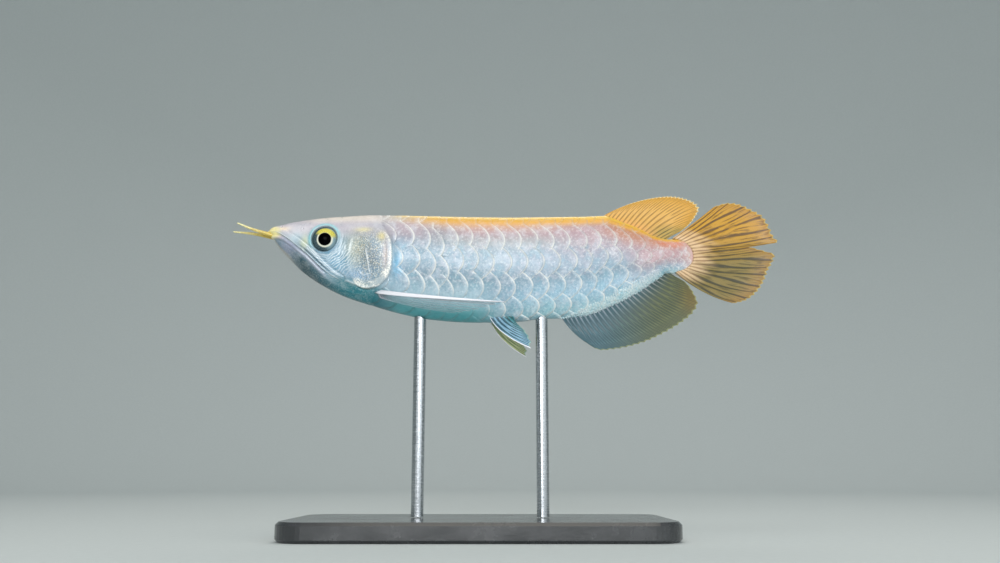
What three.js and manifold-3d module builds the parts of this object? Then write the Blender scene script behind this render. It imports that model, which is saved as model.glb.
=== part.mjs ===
// A young Asian arowana, modelled life-size and still, on a plain display stand.
// Lengths are millimetres. +Z is up, the fish faces -X and its left side faces -Y.
// The origin is the middle of the underside of the stand's base.
import * as THREE from "three";
import { mergeVertices } from "three/addons/utils/BufferGeometryUtils.js";
import Module from "manifold-3d";

const wasm = await Module();
wasm.setup();

// Driving sizes
const STANDARD_LENGTH = 141.3; // snout to the root of the tail fin
const AXIS_HEIGHT = 88; // long axis of the fish above the floor
const SNOUT_X = -71;
const GAP = 0.3; // clear space between neighbouring pieces

// Places on the fish are given in hundredths of its standard length, and thicknesses in millimetres.
// A place in the side view is [distance from the snout, height over the axis].
const UNIT = STANDARD_LENGTH / 100;
const GAP_UNITS = GAP / UNIT;

// Stations of the body: distance from the snout, height of the back, height of the belly, half width
const BODY = [
  [0.0, 8.2, 7.5, 0.4],
  [0.4, 8.8, 6.9, 1.1],
  [1.4, 9.2, 5.6, 1.9],
  [2.8, 9.5, 3.7, 2.5],
  [5.2, 10.1, 1.2, 3.2],
  [8.7, 10.7, -2.1, 3.9],
  [13.4, 11.3, -5.2, 4.5],
  [18.2, 11.6, -7.6, 5.1],
  [24.1, 11.9, -9.6, 5.6],
  [30.0, 11.9, -11.4, 5.9],
  [38.2, 11.7, -13.1, 6.2],
  [47.6, 11.5, -13.8, 6.1],
  [57.1, 11.4, -13.7, 5.8],
  [64.2, 11.5, -13.0, 5.4],
  [70.0, 11.6, -12.7, 5.0],
  [74.8, 11.7, -12.1, 4.5],
  [79.5, 11.9, -10.4, 4.0],
  [83.0, 10.7, -8.8, 3.6],
  [87.7, 8.8, -6.2, 3.0],
  [91.3, 6.9, -3.7, 2.5],
  [94.3, 6.2, -2.1, 2.1],
  [97.2, 6.5, -2.1, 1.7],
  [100.0, 7.8, -3.0, 1.2],
];
const WIDEST = 0.42; // level of the greatest width, as a share of the depth from the back
const BACK_ROUNDNESS = 2.3; // exponent of the section over that level: above 2 is flatter
const BELLY_ROUNDNESS = 1.8; // and under it, where the belly narrows to a keel

// Scales: big overlapping plates in long rows, each row half a plate behind the next
const SCALES = {
  rows: 12, // round the whole girth
  columns: 19,
  start: 28.2,
  pitch: 3.69,
  step: 0.25, // height of the free edge, in millimetres
  bow: 1.25, // how far the free edge bows, in pitches at one row from its middle
  bowPower: 2.3,
  undercut: 0.05,
  frontRing: 22.6, // the plain skin in front of the first scales starts here
};
const TAIL_CUT = 69.2; // where the trunk ends and the tail begins
const BODY_END = 100;

// The head: where it meets the trunk, the outline of a gill cover, the mouth and the bone over it
const HEAD_STATIONS = [-0.05, 0.15, 0.5, 1, 1.6, 2.4, 3.4, 4.6, 6, 7.6, 9.4, 11.4, 13.6, 16, 18.6, 21.4, 24.4, 27.8, 31.5];
const HEAD_SIDES = 30;
const HEAD_EDGE = [[26.2, 16], [26.4, 9], [27.2, 7.4], [28.6, 6.2], [29.6, 4.4], [29.9, 1.4], [29.7, -1.8], [28.8, -4],
  [27.2, -5.5], [25.3, -6.3], [24.2, -9], [23.9, -14]];
const GILL_COVER = {
  outline: [[21, 7.1], [24, 7.7], [26.8, 7.5], [28.6, 6.2], [29.6, 4.4], [29.9, 1.4], [29.7, -1.8], [28.8, -4],
    [27.2, -5.5], [25.3, -6.3], [22.4, -6.1], [20.4, -4.2], [19.7, -0.5], [19.9, 3.6]],
  lift: 0.25, // how far it stands proud of the cheek
  depth: 1.5,
  frontStation: 11, // index of the head station from which its skins run
  ridge: [[24.2, 3.2], [24.4, 0.4], [25, -3]],
  ridgeRadius: 0.32,
};
const MOUTH = {
  line: [[-3, 7.1], [0.9, 7.1], [3.4, 6.6], [5.6, 5.3], [7.9, 3.5], [10.2, 1.5], [12.4, -0.7], [14.6, -2.9], [16.3, -4.9],
    [17.4, -7.4], [18, -14]],
  gap: 0.35,
  upperLip: [[0.5, 8], [2.2, 7.9], [5.4, 6.4], [8.3, 4.2], [11, 2], [13.7, -0.6], [16.2, -2.8], [18.3, -4.4]],
  lowerLip: [[0.5, 6.5], [2.4, 6.2], [5, 4.8], [7.4, 2.9], [9.7, 0.8], [12, -1.5], [14, -3.6]],
  lipDepth: 0.7, // of the middle of the upper lip under the skin
  lowerLipDepth: 0.4,
};
const NOSTRILS = { places: [[3.3, 8.5], [8.6, 7.6]], radius: 0.5 };
const EYE = {
  centre: [13.85, 5.3],
  radius: 4.25,
  bulge: 2.5, // half thickness across the head
  sink: 1.6, // depth of its middle under the cheek
  turn: 0.14, // radians that the cheek faces forward
  rimRadius: 4.95,
  rimThickness: 0.42,
  facets: 18,
};

// Fins on the middle line: their roots lie inside the body, and rays lean from the root back to the margin.
const MEMBRANE = 0.56; // thickness of a fin between its rays
const DORSAL_FIN = {
  root: [[78.6, 11.2], [82.8, 9], [87, 7.2], [92.6, 4.9]],
  margin: [[81, 13.4], [82.8, 14.6], [86.2, 15.6], [90, 16.5], [93.2, 16.7], [95.7, 16.6], [98.7, 15.8], [100.9, 14.8],
    [101.7, 13.8], [100.9, 12], [99.6, 10.2], [97.4, 8.2]],
  rays: 16,
  rings: 6,
  lean: [0.42, 0.62],
  rootThickness: 2.2,
  rayHeight: 0.14,
};
const ANAL_FIN = {
  root: [[69.4, -11.4], [74, -10.9], [80, -8.6], [86, -5.2], [93.8, -0.9]],
  margin: [[74.4, -18.2], [77.6, -20.1], [81.3, -20], [84.2, -19.5], [88.7, -18.2], [93.6, -15.9], [97.4, -13.6],
    [100.1, -11.3], [101.2, -9.3], [100.8, -7.6], [98.7, -4.4], [97, -3.3]],
  rays: 20,
  rings: 6,
  lean: [0.4, 0.62],
  rootThickness: 2.2,
  rayHeight: 0.14,
};
const TAIL_FIN = {
  root: [7.4, -2.6], // heights of its first and last ray
  upper: [[110, 15.2], [112, 14.9], [115, 13.5], [117.1, 11.6], [118.5, 8.6], [119.2, 7], [120.4, 5.7]],
  lower: [[119.8, 1.9], [119, 0.2], [118.1, -1.2], [116.9, -4], [115.5, -6.1], [113.8, -7.7], [112.2, -8.6], [109.6, -9.2]],
  notch: [114.2, 4.4],
  rays: 16,
  rings: 9,
  lean: [0.45, 0.75],
  rootThickness: 2.6,
  rayHeight: 0.16,
};
const SWAY = { single: 0.0022, tail: 0.0012, wave: 0.11, phase: 0.6 };

// The paired fins also go out sideways, so their places are distance, side and height.
const PECTORAL_FIN = {
  root: [[26.2, 3.2, -6.9], [27, 2.8, -8.3]],
  control: [[33.5, 14.8, -10], [34, 6.6, -11.4]],
  margin: [[54.9, 15.3, -11.4], [53.2, 13.6, -11.9], [49.2, 10.2, -12.6], [44.6, 6.4, -12.6]],
  rays: 7,
  rings: 10,
  rootThickness: 1.4,
  rayHeight: 0.12,
  leading: 0.5, // extra half thickness of the first ray
  raise: { left: 0, right: 1.2 }, // how far the tip is held up
};
const PELVIC_FIN = {
  root: [[52.3, 1.2, -12.2], [55.2, 1.5, -12]],
  control: [[54.2, 2.7, -17.1], [56.8, 2.2, -13]],
  margin: [[61.8, 4.2, -20.4], [62, 3.9, -19.3], [61.4, 3.3, -17.5], [60, 2.8, -15.6], [57.9, 2.2, -13.9]],
  rays: 6,
  rings: 7,
  rootThickness: 1.4,
  rayHeight: 0.12,
  leading: 0.2,
  raise: { left: 0, right: 0 },
};
const BARBELS = {
  left: [[1.6, 0.5, 6.2], [-0.2, 0.8, 6.7], [-3.8, 1.2, 8], [-7.4, 1.7, 9.8]],
  right: [[1.6, 0.5, 6], [-0.2, 0.8, 6.4], [-4, 1.3, 7.7], [-8, 1.7, 8.3]],
  radius: 0.7,
  taper: 0.5,
};

// The stand
const BASE = { length: 120, width: 60, height: 6, corner: 8, bevel: 1 };
const ROD = { radius: 2, places: [-20, 20], facets: 20 };

// Finishes
const HEAD_SKIN = { color: 0xbfc4cc, roughness: 0.35, metalness: 0.2 };
const GILL_SILVER = { color: 0xcdd4de, roughness: 0.3, metalness: 0.25 };
const SCALE_SILVER = { color: 0xb9bdca, roughness: 0.3, metalness: 0.25 };
const FIN_GOLD = { color: 0xc98a3c, roughness: 0.5, metalness: 0 };
const FIN_OLIVE = { color: 0x8a8366, roughness: 0.5, metalness: 0 };
const FIN_PALE = { color: 0xc9cfdd, roughness: 0.5, metalness: 0 };
const BARBEL_GOLD = { color: 0xd6b04a, roughness: 0.5, metalness: 0 };
const EYE_GLOSS = { color: 0x15120f, roughness: 0.1, metalness: 0 };
const BASE_LACQUER = { color: 0x2b2d2f, roughness: 0.45, metalness: 0 };
const ROD_STEEL = { color: 0xb8bcc0, roughness: 0.3, metalness: 1 };

const SIDES = { left: -1, right: 1 };

// Evenly spaced values from one number to another.
function steps(from, to, count) {
  return Array.from({ length: count }, (_, i) => from + ((to - from) * i) / (count - 1));
}

// Value at x of a smooth curve through one column of a table, with no overshoot between its rows.
function through(rows, column, x) {
  const last = rows.length - 1;
  const at = Math.min(Math.max(x, rows[0][0]), rows[last][0]);
  const i = Math.max(rows.findIndex((row) => row[0] >= at) - 1, 0);
  const slope = (k) => (rows[k + 1][column] - rows[k][column]) / (rows[k + 1][0] - rows[k][0]);
  const tangent = (k) => {
    const before = slope(Math.max(k - 1, 0));
    const after = slope(Math.min(k, last - 1));
    return before * after <= 0 ? 0 : (2 * before * after) / (before + after);
  };
  const span = rows[i + 1][0] - rows[i][0];
  const t = (at - rows[i][0]) / span;
  const rise = t * t * (3 - 2 * t);
  return (
    rows[i][column] * (1 - rise) +
    rows[i + 1][column] * rise +
    span * t * (1 - t) * (tangent(i) * (1 - t) - tangent(i + 1) * t)
  );
}

// Point of the fish from distance behind the snout, side (left is negative) and height over the axis.
function place(along, side, up) {
  return new THREE.Vector3(along, side, up).multiplyScalar(UNIT);
}

function sectionSizes(along) {
  const back = through(BODY, 1, along);
  const belly = through(BODY, 2, along);
  return { back, belly, width: through(BODY, 3, along), level: back - WIDEST * (back - belly) };
}

// Half width of the body at a height: the section is two half superellipses that meet at its widest level.
function sideAt(along, up) {
  const { back, belly, width, level } = sectionSizes(along);
  const power = up > level ? BACK_ROUNDNESS : BELLY_ROUNDNESS;
  const share = Math.min(1, (up - level) / (up > level ? back - level : belly - level));
  return width * (1 - share ** power) ** (1 / power);
}

// Half of a section from the back to the belly, as points with the length of outline up to each.
const SECTION_SAMPLES = 72;
const sections = new Map();
function halfSection(along) {
  if (sections.has(along)) return sections.get(along);
  const { back, belly, width, level } = sectionSizes(along);
  const points = steps(0, Math.PI, SECTION_SAMPLES + 1).map((angle, i) => {
    const upper = 2 * i < SECTION_SAMPLES;
    const power = 2 / (upper ? BACK_ROUNDNESS : BELLY_ROUNDNESS);
    const reach = (upper ? back : belly) - level;
    const sine = Math.max(0, Math.sin(angle));
    return new THREE.Vector2(width * sine ** power, level + reach * Math.abs(Math.cos(angle)) ** power);
  });
  const lengths = [0];
  for (let i = 1; i < points.length; i++) lengths.push(lengths[i - 1] + points[i].distanceTo(points[i - 1]));
  sections.set(along, { points, lengths });
  return sections.get(along);
}

// Point of the skin. girth goes round the section from 0 at the back, down the left side, to 1.
function skinPoint(along, girth) {
  const turn = ((girth % 1) + 1) % 1;
  const { points, lengths } = halfSection(along);
  const wanted = (turn < 0.5 ? turn : 1 - turn) * 2 * lengths.at(-1);
  const i = Math.max(lengths.findIndex((length) => length >= wanted), 1);
  const share = (wanted - lengths[i - 1]) / (lengths[i] - lengths[i - 1]);
  const found = points[i - 1].clone().lerp(points[i], share);
  return place(along, turn < 0.5 ? -found.x : found.x, found.y);
}

// The same, lifted off the skin by so many millimetres along its normal.
const PROBE = 0.02;
function liftedPoint(along, girth, lift) {
  const point = skinPoint(along, girth);
  if (lift === 0) return point;
  const lengthwise = skinPoint(along + PROBE, girth).sub(skinPoint(Math.max(along - PROBE, 0), girth));
  const around = skinPoint(along, girth + PROBE).sub(skinPoint(along, girth - PROBE));
  return point.addScaledVector(around.cross(lengthwise).normalize(), lift);
}

// Points under a side-view line on one cheek, sunk by a depth in millimetres.
function onCheek(line, side, depth) {
  return line.map(([along, up]) => place(along, side * (sideAt(along, up) - depth / UNIT), up));
}

// A solid from points and triangles, turned the right way out if it is inside out.
function solidFrom(points, triangles) {
  let volume = 0;
  for (const [a, b, c] of triangles) volume += points[a].dot(points[b].clone().cross(points[c]));
  const faces = volume < 0 ? triangles.map(([a, b, c]) => [a, c, b]) : triangles;
  return new wasm.Manifold(
    new wasm.Mesh({
      numProp: 3,
      vertProperties: new Float32Array(points.flatMap((p) => [p.x, p.y, p.z])),
      triVerts: new Uint32Array(faces.flat()),
    }),
  );
}

// A solid from one of three's closed geometries.
function solidOf(geometry) {
  geometry.deleteAttribute("normal");
  geometry.deleteAttribute("uv");
  const merged = mergeVertices(geometry, 1e-4);
  return new wasm.Manifold(
    new wasm.Mesh({
      numProp: 3,
      vertProperties: merged.attributes.position.array,
      triVerts: new Uint32Array(merged.index.array),
    }),
  );
}

// Only the largest closed piece of a solid.
function largest(solid) {
  return solid.decompose().reduce((a, b) => (a.volume() > b.volume() ? a : b));
}

// Rings of points, each with the same count, skinned into one closed solid: as a loop, or with a fan over each end.
function loft(rings, loop = false) {
  const count = rings[0].length;
  const points = rings.flat();
  const triangles = [];
  for (let r = 0; r + (loop ? 0 : 1) < rings.length; r++) {
    for (let i = 0; i < count; i++) {
      const [here, next] = [i, (i + 1) % count];
      const [low, high] = [r * count, ((r + 1) % rings.length) * count];
      triangles.push([low + here, low + next, high + next], [low + here, high + next, high + here]);
    }
  }
  if (loop) return solidFrom(points, triangles);
  for (const start of [0, (rings.length - 1) * count]) {
    const middle = new THREE.Vector3();
    for (let i = 0; i < count; i++) middle.addScaledVector(points[start + i], 1 / count);
    points.push(middle);
    for (let i = 0; i < count; i++) {
      const edge = [start + i, start + ((i + 1) % count)];
      if (start === 0) edge.reverse();
      triangles.push([...edge, points.length - 1]);
    }
  }
  return solidFrom(points, triangles);
}

// The smooth body through some stations, grown or shrunk by a lift in millimetres.
function smoothBody(lift, stations, sides) {
  return loft(stations.map((along) => steps(0, 1, sides + 1).slice(0, -1).map((g) => liftedPoint(along, g, lift))));
}

function curveOf(points, closed = false) {
  return new THREE.CatmullRomCurve3(points, closed, "centripetal");
}

// A round tube along points in space, whose radius is a function of the share of its length.
function tube(points, radius, rings, sides, closed = false) {
  const curve = curveOf(points, closed);
  const count = closed ? rings + 1 : rings;
  const frames = curve.computeFrenetFrames(count - 1, closed);
  const circles = steps(0, 1, count).map((t, i) =>
    steps(0, 2 * Math.PI, sides + 1).slice(0, -1).map((angle) =>
      curve
        .getPointAt(t)
        .addScaledVector(frames.normals[i], radius(t) * Math.cos(angle))
        .addScaledVector(frames.binormals[i], radius(t) * Math.sin(angle)),
    ),
  );
  return loft(closed ? circles.slice(0, -1) : circles, closed);
}

// A side-view outline carried right through the fish, or only through one side of it.
const WELL_OUTSIDE = 20;
function throughCut(outline, side = 0) {
  const shape = new THREE.Shape(outline.map(([along, up]) => new THREE.Vector2(along * UNIT, up * UNIT)));
  const slab = new THREE.ExtrudeGeometry(shape, { depth: 2 * WELL_OUTSIDE, bevelEnabled: false });
  return solidOf(slab.rotateX(Math.PI / 2).translate(0, WELL_OUTSIDE * (1 + side), 0));
}

// A smooth line through side-view places, as evenly spaced places.
function smoothLine(places, count) {
  const curve = curveOf(places.map(([along, up]) => new THREE.Vector3(along, up, 0)));
  return curve.getSpacedPoints(count - 1).map((p) => [p.x, p.y]);
}

// A side-view line moved square to itself by a distance in millimetres.
function shifted(line, distance) {
  return line.map(([x, y], i) => {
    const before = line[Math.max(i - 1, 0)];
    const after = line[Math.min(i + 1, line.length - 1)];
    const reach = distance / UNIT / Math.hypot(after[0] - before[0], after[1] - before[1]);
    return [x - (after[1] - before[1]) * reach, y + (after[0] - before[0]) * reach];
  });
}

// Where the free edge of a scale passes under its neighbours' edges, in rows from its own middle line.
function edgeReach() {
  let low = 0.5;
  let high = 1;
  for (let i = 0; i < 40; i++) {
    const middle = (low + high) / 2;
    const lag = SCALES.bow * (middle ** SCALES.bowPower - (1 - middle) ** SCALES.bowPower);
    if (lag > 0.5) high = middle;
    else low = middle;
  }
  return low;
}

// The scaled body as one closed skin, lifted by some millimetres. The scales lie in rows, and the free edge of
// each is an arc whose two ends run under the arcs of the rows beside it, half a pitch ahead. Each plate rises
// from the feet of the arcs in front of it to its own edge, and a small wall drops from that edge to the plate
// behind.
function scaledBody(lift) {
  const reach = edgeReach();
  const levels = [-reach, -0.5, reach - 1, 0, 1 - reach, 0.5, reach];
  const rise = [0, 0.6, 0.9, 1, 0.9, 0.6, 0];
  const ends = [0, levels.length - 1];
  const points = [];
  const triangles = [];
  const feet = new Map();
  const addPoint = (along, girth, height) => points.push(liftedPoint(along, girth, lift + height)) - 1;
  const row = (j) => (j + SCALES.rows) % SCALES.rows;
  const girthOf = (j, v) => (j + 0.5 + v) / SCALES.rows;
  const edgeAlong = (k, v) => SCALES.start + SCALES.pitch * (k - SCALES.bow * Math.abs(v) ** SCALES.bowPower);

  // Index of a point at the foot of an arc. The arc's ends belong to the neighbours' arcs.
  const foot = (k, j, m) => {
    if (m === ends[0]) return foot(k - 0.5, row(j - 1), 4);
    if (m === ends[1]) return foot(k - 0.5, row(j + 1), 2);
    const key = `${k},${row(j)},${m}`;
    if (!feet.has(key)) feet.set(key, addPoint(edgeAlong(k, levels[m]), girthOf(j, levels[m]), 0));
    return feet.get(key);
  };
  const strip = (front, rear) => {
    for (let m = 0; m + 1 < front.length; m++) {
      const corners = [[front[m], front[m + 1], rear[m + 1]], [front[m], rear[m + 1], rear[m]]];
      triangles.push(...corners.filter((corner) => new Set(corner).size === 3));
    }
  };
  for (let column = 0; column < SCALES.columns; column++) {
    for (let j = 0; j < SCALES.rows; j++) {
      const k = column + 0.5 * (j % 2);
      const front = [
        foot(k, j, 0),
        foot(k - 0.5, row(j - 1), 5),
        foot(k - 1, j, 2),
        foot(k - 1, j, 3),
        foot(k - 1, j, 4),
        foot(k - 0.5, row(j + 1), 1),
        foot(k, j, 6),
      ];
      const base = levels.map((_, m) => foot(k, j, m));
      const edge = levels.map((v, m) => {
        if (ends.includes(m)) return base[m];
        return addPoint(edgeAlong(k, v) - SCALES.undercut, girthOf(j, v), SCALES.step * rise[m]);
      });
      strip(front, edge);
      strip(edge, base);
    }
  }
  // The plain skin in front of the first scales and behind the last ones ends in flat rings.
  const close = (column, along, reverse) => {
    const chain = [];
    for (let j = 0; j < SCALES.rows; j += 2) {
      chain.push([foot(column, j, 3), girthOf(j, 0)]);
      levels.forEach((v, m) => chain.push([foot(column + 0.5, j + 1, m), girthOf(j + 1, v)]));
    }
    const ring = chain.map(([, girth]) => addPoint(along, girth, 0));
    const middle = points.push(place(along, 0, sectionSizes(along).level)) - 1;
    ring.forEach((here, i) => {
      const next = (i + 1) % ring.length;
      const faces = [
        [here, ring[next], chain[next][0]],
        [here, chain[next][0], chain[i][0]],
        [middle, ring[next], here],
      ];
      triangles.push(...(reverse ? faces.map(([a, b, c]) => [a, c, b]) : faces));
    });
  };
  close(-1, SCALES.frontRing, false);
  close(SCALES.columns - 1, BODY_END, true);
  return solidFrom(points, triangles);
}

// An eye, or the socket that is wider than it by a gap: a flattened ball set in the cheek.
function eyeSolid(side, gap) {
  const [middle] = onCheek([EYE.centre], side, EYE.sink);
  const ball = new THREE.SphereGeometry(1, EYE.facets, EYE.facets / 2);
  ball.rotateX(Math.PI / 2).scale(EYE.radius + gap, EYE.bulge + gap, EYE.radius + gap);
  return solidOf(ball.rotateZ(side * EYE.turn).translate(middle.x, middle.y, middle.z));
}

// The fleshy rim round an eye, laid on the cheek.
function eyeRim(side) {
  const [along, up] = EYE.centre;
  const reach = EYE.rimRadius / UNIT;
  const circle = steps(0, 2 * Math.PI, 13)
    .slice(0, -1)
    .map((angle) => [along + reach * Math.cos(angle), up + reach * Math.sin(angle)]);
  return tube(onCheek(circle, side, EYE.rimThickness / 2), () => EYE.rimThickness, 20, 6, true);
}

// Both lips of one side: the upper one widens into the bone over the corner of the mouth.
function lips(side) {
  const upper = tube(
    onCheek(smoothLine(MOUTH.upperLip, 10), side, MOUTH.lipDepth),
    (t) => 0.5 + 0.8 * Math.sin(Math.PI * (0.05 + 0.9 * t)),
    10,
    7,
  );
  const lower = tube(
    onCheek(smoothLine(MOUTH.lowerLip, 8), side, MOUTH.lowerLipDepth),
    (t) => 0.42 + 0.3 * Math.sin(Math.PI * t),
    9,
    6,
  );
  return upper.add(lower);
}

const inFrontOf = (line) => [[-6, 16], ...line, [-6, -14]];
const headEdge = smoothLine(HEAD_EDGE, 26);
const headRegion = throughCut(inFrontOf(headEdge));

// The head in two pieces, parted by the mouth, with sockets for the eyes and pockets for the gill covers.
function headAndJaw() {
  const outline = smoothLine([...GILL_COVER.outline, GILL_COVER.outline[0]], 34).slice(0, -1);
  const wrapped = [outline.at(-1), ...outline, outline[0]];
  const grown = shifted(wrapped, GAP).slice(1, -1);
  const stations = HEAD_STATIONS.slice(GILL_COVER.frontStation);
  const pocketFloor = smoothBody(-GILL_COVER.depth - GAP, stations, HEAD_SIDES);
  const pockets = throughCut(grown).subtract(pocketFloor);
  const outerSkin = smoothBody(GILL_COVER.lift, stations, HEAD_SIDES);
  const innerSkin = smoothBody(-GILL_COVER.depth, stations, HEAD_SIDES);
  const covers = outerSkin.subtract(innerSkin).intersect(throughCut(outline)).intersect(headRegion);

  let flesh = smoothBody(0, HEAD_STATIONS, HEAD_SIDES).intersect(headRegion);
  for (const side of Object.values(SIDES)) flesh = flesh.add(lips(side)).add(eyeRim(side));
  flesh = flesh.subtract(pockets);
  for (const side of Object.values(SIDES)) {
    flesh = flesh.subtract(eyeSolid(side, GAP));
    for (const spot of onCheek(NOSTRILS.places, side, 0)) {
      const pit = new THREE.SphereGeometry(NOSTRILS.radius, 6, 4).translate(spot.x, spot.y, spot.z);
      flesh = flesh.subtract(solidOf(pit));
    }
  }
  const mouth = smoothLine(MOUTH.line, 26);
  const slit = throughCut([...shifted(mouth, MOUTH.gap / 2), ...shifted(mouth, -MOUTH.gap / 2).reverse()]);
  const [head, jaw] = flesh.subtract(slit).decompose().sort((a, b) => b.volume() - a.volume());
  return { head, jaw, covers };
}

// One gill cover, with the low ridge that runs down it.
function gillCover(covers, side) {
  const half = throughCut([[0, 16], [40, 16], [40, -16], [0, -16]], side);
  const ridge = tube(onCheek(GILL_COVER.ridge, side, -GILL_COVER.lift / 2), () => GILL_COVER.ridgeRadius, 5, 6);
  return largest(covers.intersect(half).add(ridge));
}

// A fin: a grid of rays and membranes with a thickness. pathOf(u, t) is its middle surface, u across the rays
// and t out along them. Rays stand proud of the membrane, and reach a little past it at the margin.
function fin({ rays, rings, rootThickness, rayHeight, leading = 0 }, pathOf, flatNormal) {
  const columns = 2 * rays - 1;
  const faces = [[], []];
  for (let c = 0; c < columns; c++) {
    const onRay = c % 2 === 0;
    const u = c / (columns - 1);
    for (const share of steps(0, 1, rings)) {
      const t = share * (onRay ? 1 : 0.975);
      const middle = pathOf(u, t);
      const normal = flatNormal ?? surfaceNormal(pathOf, u, t);
      const root = (rootThickness - MEMBRANE) * Math.exp(-20 * share * share);
      const ridge = onRay ? rayHeight * (1 - 0.6 * share) : 0;
      const edge = c === 0 ? leading * (1 - 0.75 * share) : 0;
      const half = (MEMBRANE + root) / 2 + ridge + edge;
      faces[0].push(middle.clone().addScaledVector(normal, half));
      faces[1].push(middle.clone().addScaledVector(normal, -half));
    }
  }
  const size = columns * rings;
  const triangles = [];
  const quad = (a, b, c, d) => triangles.push([a, b, c], [a, c, d]);
  const at = (face, c, r) => face * size + c * rings + r;
  for (let c = 0; c + 1 < columns; c++) {
    for (let r = 0; r + 1 < rings; r++) {
      const [p, q, s, w] = [at(0, c, r), at(0, c + 1, r), at(0, c + 1, r + 1), at(0, c, r + 1)];
      triangles.push([p, q, s], [p, s, w], [p + size, s + size, q + size], [p + size, w + size, s + size]);
    }
    quad(at(1, c, 0), at(1, c + 1, 0), at(0, c + 1, 0), at(0, c, 0));
    quad(at(0, c, rings - 1), at(0, c + 1, rings - 1), at(1, c + 1, rings - 1), at(1, c, rings - 1));
  }
  for (let r = 0; r + 1 < rings; r++) {
    quad(at(0, 0, r), at(0, 0, r + 1), at(1, 0, r + 1), at(1, 0, r));
    quad(at(1, columns - 1, r), at(1, columns - 1, r + 1), at(0, columns - 1, r + 1), at(0, columns - 1, r));
  }
  return solidFrom([...faces[0], ...faces[1]], triangles);
}

function surfaceNormal(pathOf, u, t) {
  const d = 0.01;
  const across = pathOf(Math.min(u + d, 1), t + d).sub(pathOf(Math.max(u - d, 0), t + d));
  const out = pathOf(u, t + d).sub(pathOf(u, Math.max(t - d, 0)));
  return across.cross(out).normalize();
}

// Point at share t of a curve from a root to a tip, drawn towards a control point.
function bent(root, control, tip, t) {
  const point = root.clone().multiplyScalar((1 - t) ** 2);
  return point.addScaledVector(control, 2 * t * (1 - t)).addScaledVector(tip, t * t);
}

// A ray on the middle line that leans from its root to its tip, in a gentle sideways wave.
function swayingRay(root, tip, lean, t, amount) {
  const control = new THREE.Vector3(root.x + lean[0] * (tip.x - root.x), 0, root.z + lean[1] * (tip.z - root.z));
  const point = bent(root, control, tip, t);
  const out = point.distanceTo(root);
  point.y += amount * out * out * Math.sin(SWAY.wave * (point.x - root.x) + SWAY.phase);
  return point;
}

const ACROSS = new THREE.Vector3(0, 1, 0);
const middlePlace = ([along, up]) => place(along, 0, up);

function middleFin(sizes) {
  const roots = curveOf(sizes.root.map(middlePlace));
  const tips = curveOf(sizes.margin.map(middlePlace));
  const pathOf = (u, t) => swayingRay(roots.getPointAt(u), tips.getPointAt(u), sizes.lean, t, SWAY.single);
  return fin(sizes, pathOf, ACROSS);
}

// The tail fin's rays fan out from the end of the body, and the middle of the fan ends in the notch.
function tailFin(sizes) {
  const upperTips = curveOf(sizes.upper.map(middlePlace));
  const lowerTips = curveOf(sizes.lower.map(middlePlace));
  const notchColumn = sizes.rays - 1;
  const tipOf = (column) => {
    if (column < notchColumn) return upperTips.getPointAt(column / (notchColumn - 1));
    if (column > notchColumn) return lowerTips.getPointAt((column - notchColumn - 1) / (notchColumn - 1));
    return middlePlace(sizes.notch);
  };
  const pathOf = (u, t) => {
    const root = place(BODY_END + GAP_UNITS, 0, sizes.root[0] + (sizes.root[1] - sizes.root[0]) * u);
    return swayingRay(root, tipOf(Math.round(u * 2 * notchColumn)), sizes.lean, t, SWAY.tail);
  };
  return fin(sizes, pathOf, ACROSS);
}

function pairedFin(sizes, name) {
  const point = ([along, across, up]) => place(along, SIDES[name] * across, up);
  const tips = curveOf(sizes.margin.map(point));
  const roots = sizes.root.map(point);
  const controls = sizes.control.map(point);
  const pathOf = (u, t) => {
    const found = bent(roots[0].clone().lerp(roots[1], u), controls[0].clone().lerp(controls[1], u), tips.getPointAt(u), t);
    found.z += sizes.raise[name] * UNIT * t;
    return found;
  };
  return fin(sizes, pathOf);
}

function barbel(name) {
  const path = BARBELS[name].map(([along, across, up]) => place(along, SIDES[name] * across, up));
  return tube(path, (t) => BARBELS.radius - BARBELS.taper * t ** 1.5, 9, 8);
}

// The base of the stand, with rounded corners.
function standBase() {
  const { length, width, height, corner, bevel } = BASE;
  const x = length / 2 - bevel - corner;
  const y = width / 2 - bevel - corner;
  const shape = new THREE.Shape();
  for (const [cx, cy, quarter] of [[x, -y, -1], [x, y, 0], [-x, y, 1], [-x, -y, 2]]) {
    shape.absarc(cx, cy, corner, (quarter * Math.PI) / 2, ((quarter + 1) * Math.PI) / 2);
  }
  const plate = new THREE.ExtrudeGeometry(shape, {
    depth: height - 2 * bevel,
    bevelThickness: bevel,
    bevelSize: bevel,
    bevelSegments: 1,
    curveSegments: 5,
  });
  return solidOf(plate.translate(0, 0, bevel));
}

// A rod from the base up to the belly, which its top follows. It is cut by the body, moved to its place.
function standRod(x, body) {
  const foot = BASE.height + GAP;
  const rod = new THREE.CylinderGeometry(ROD.radius, ROD.radius, AXIS_HEIGHT - foot, ROD.facets);
  rod.rotateX(Math.PI / 2).translate(x, 0, (AXIS_HEIGHT + foot) / 2);
  return largest(solidOf(rod).subtract(body.translate([SNOUT_X, 0, AXIS_HEIGHT])));
}

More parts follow.
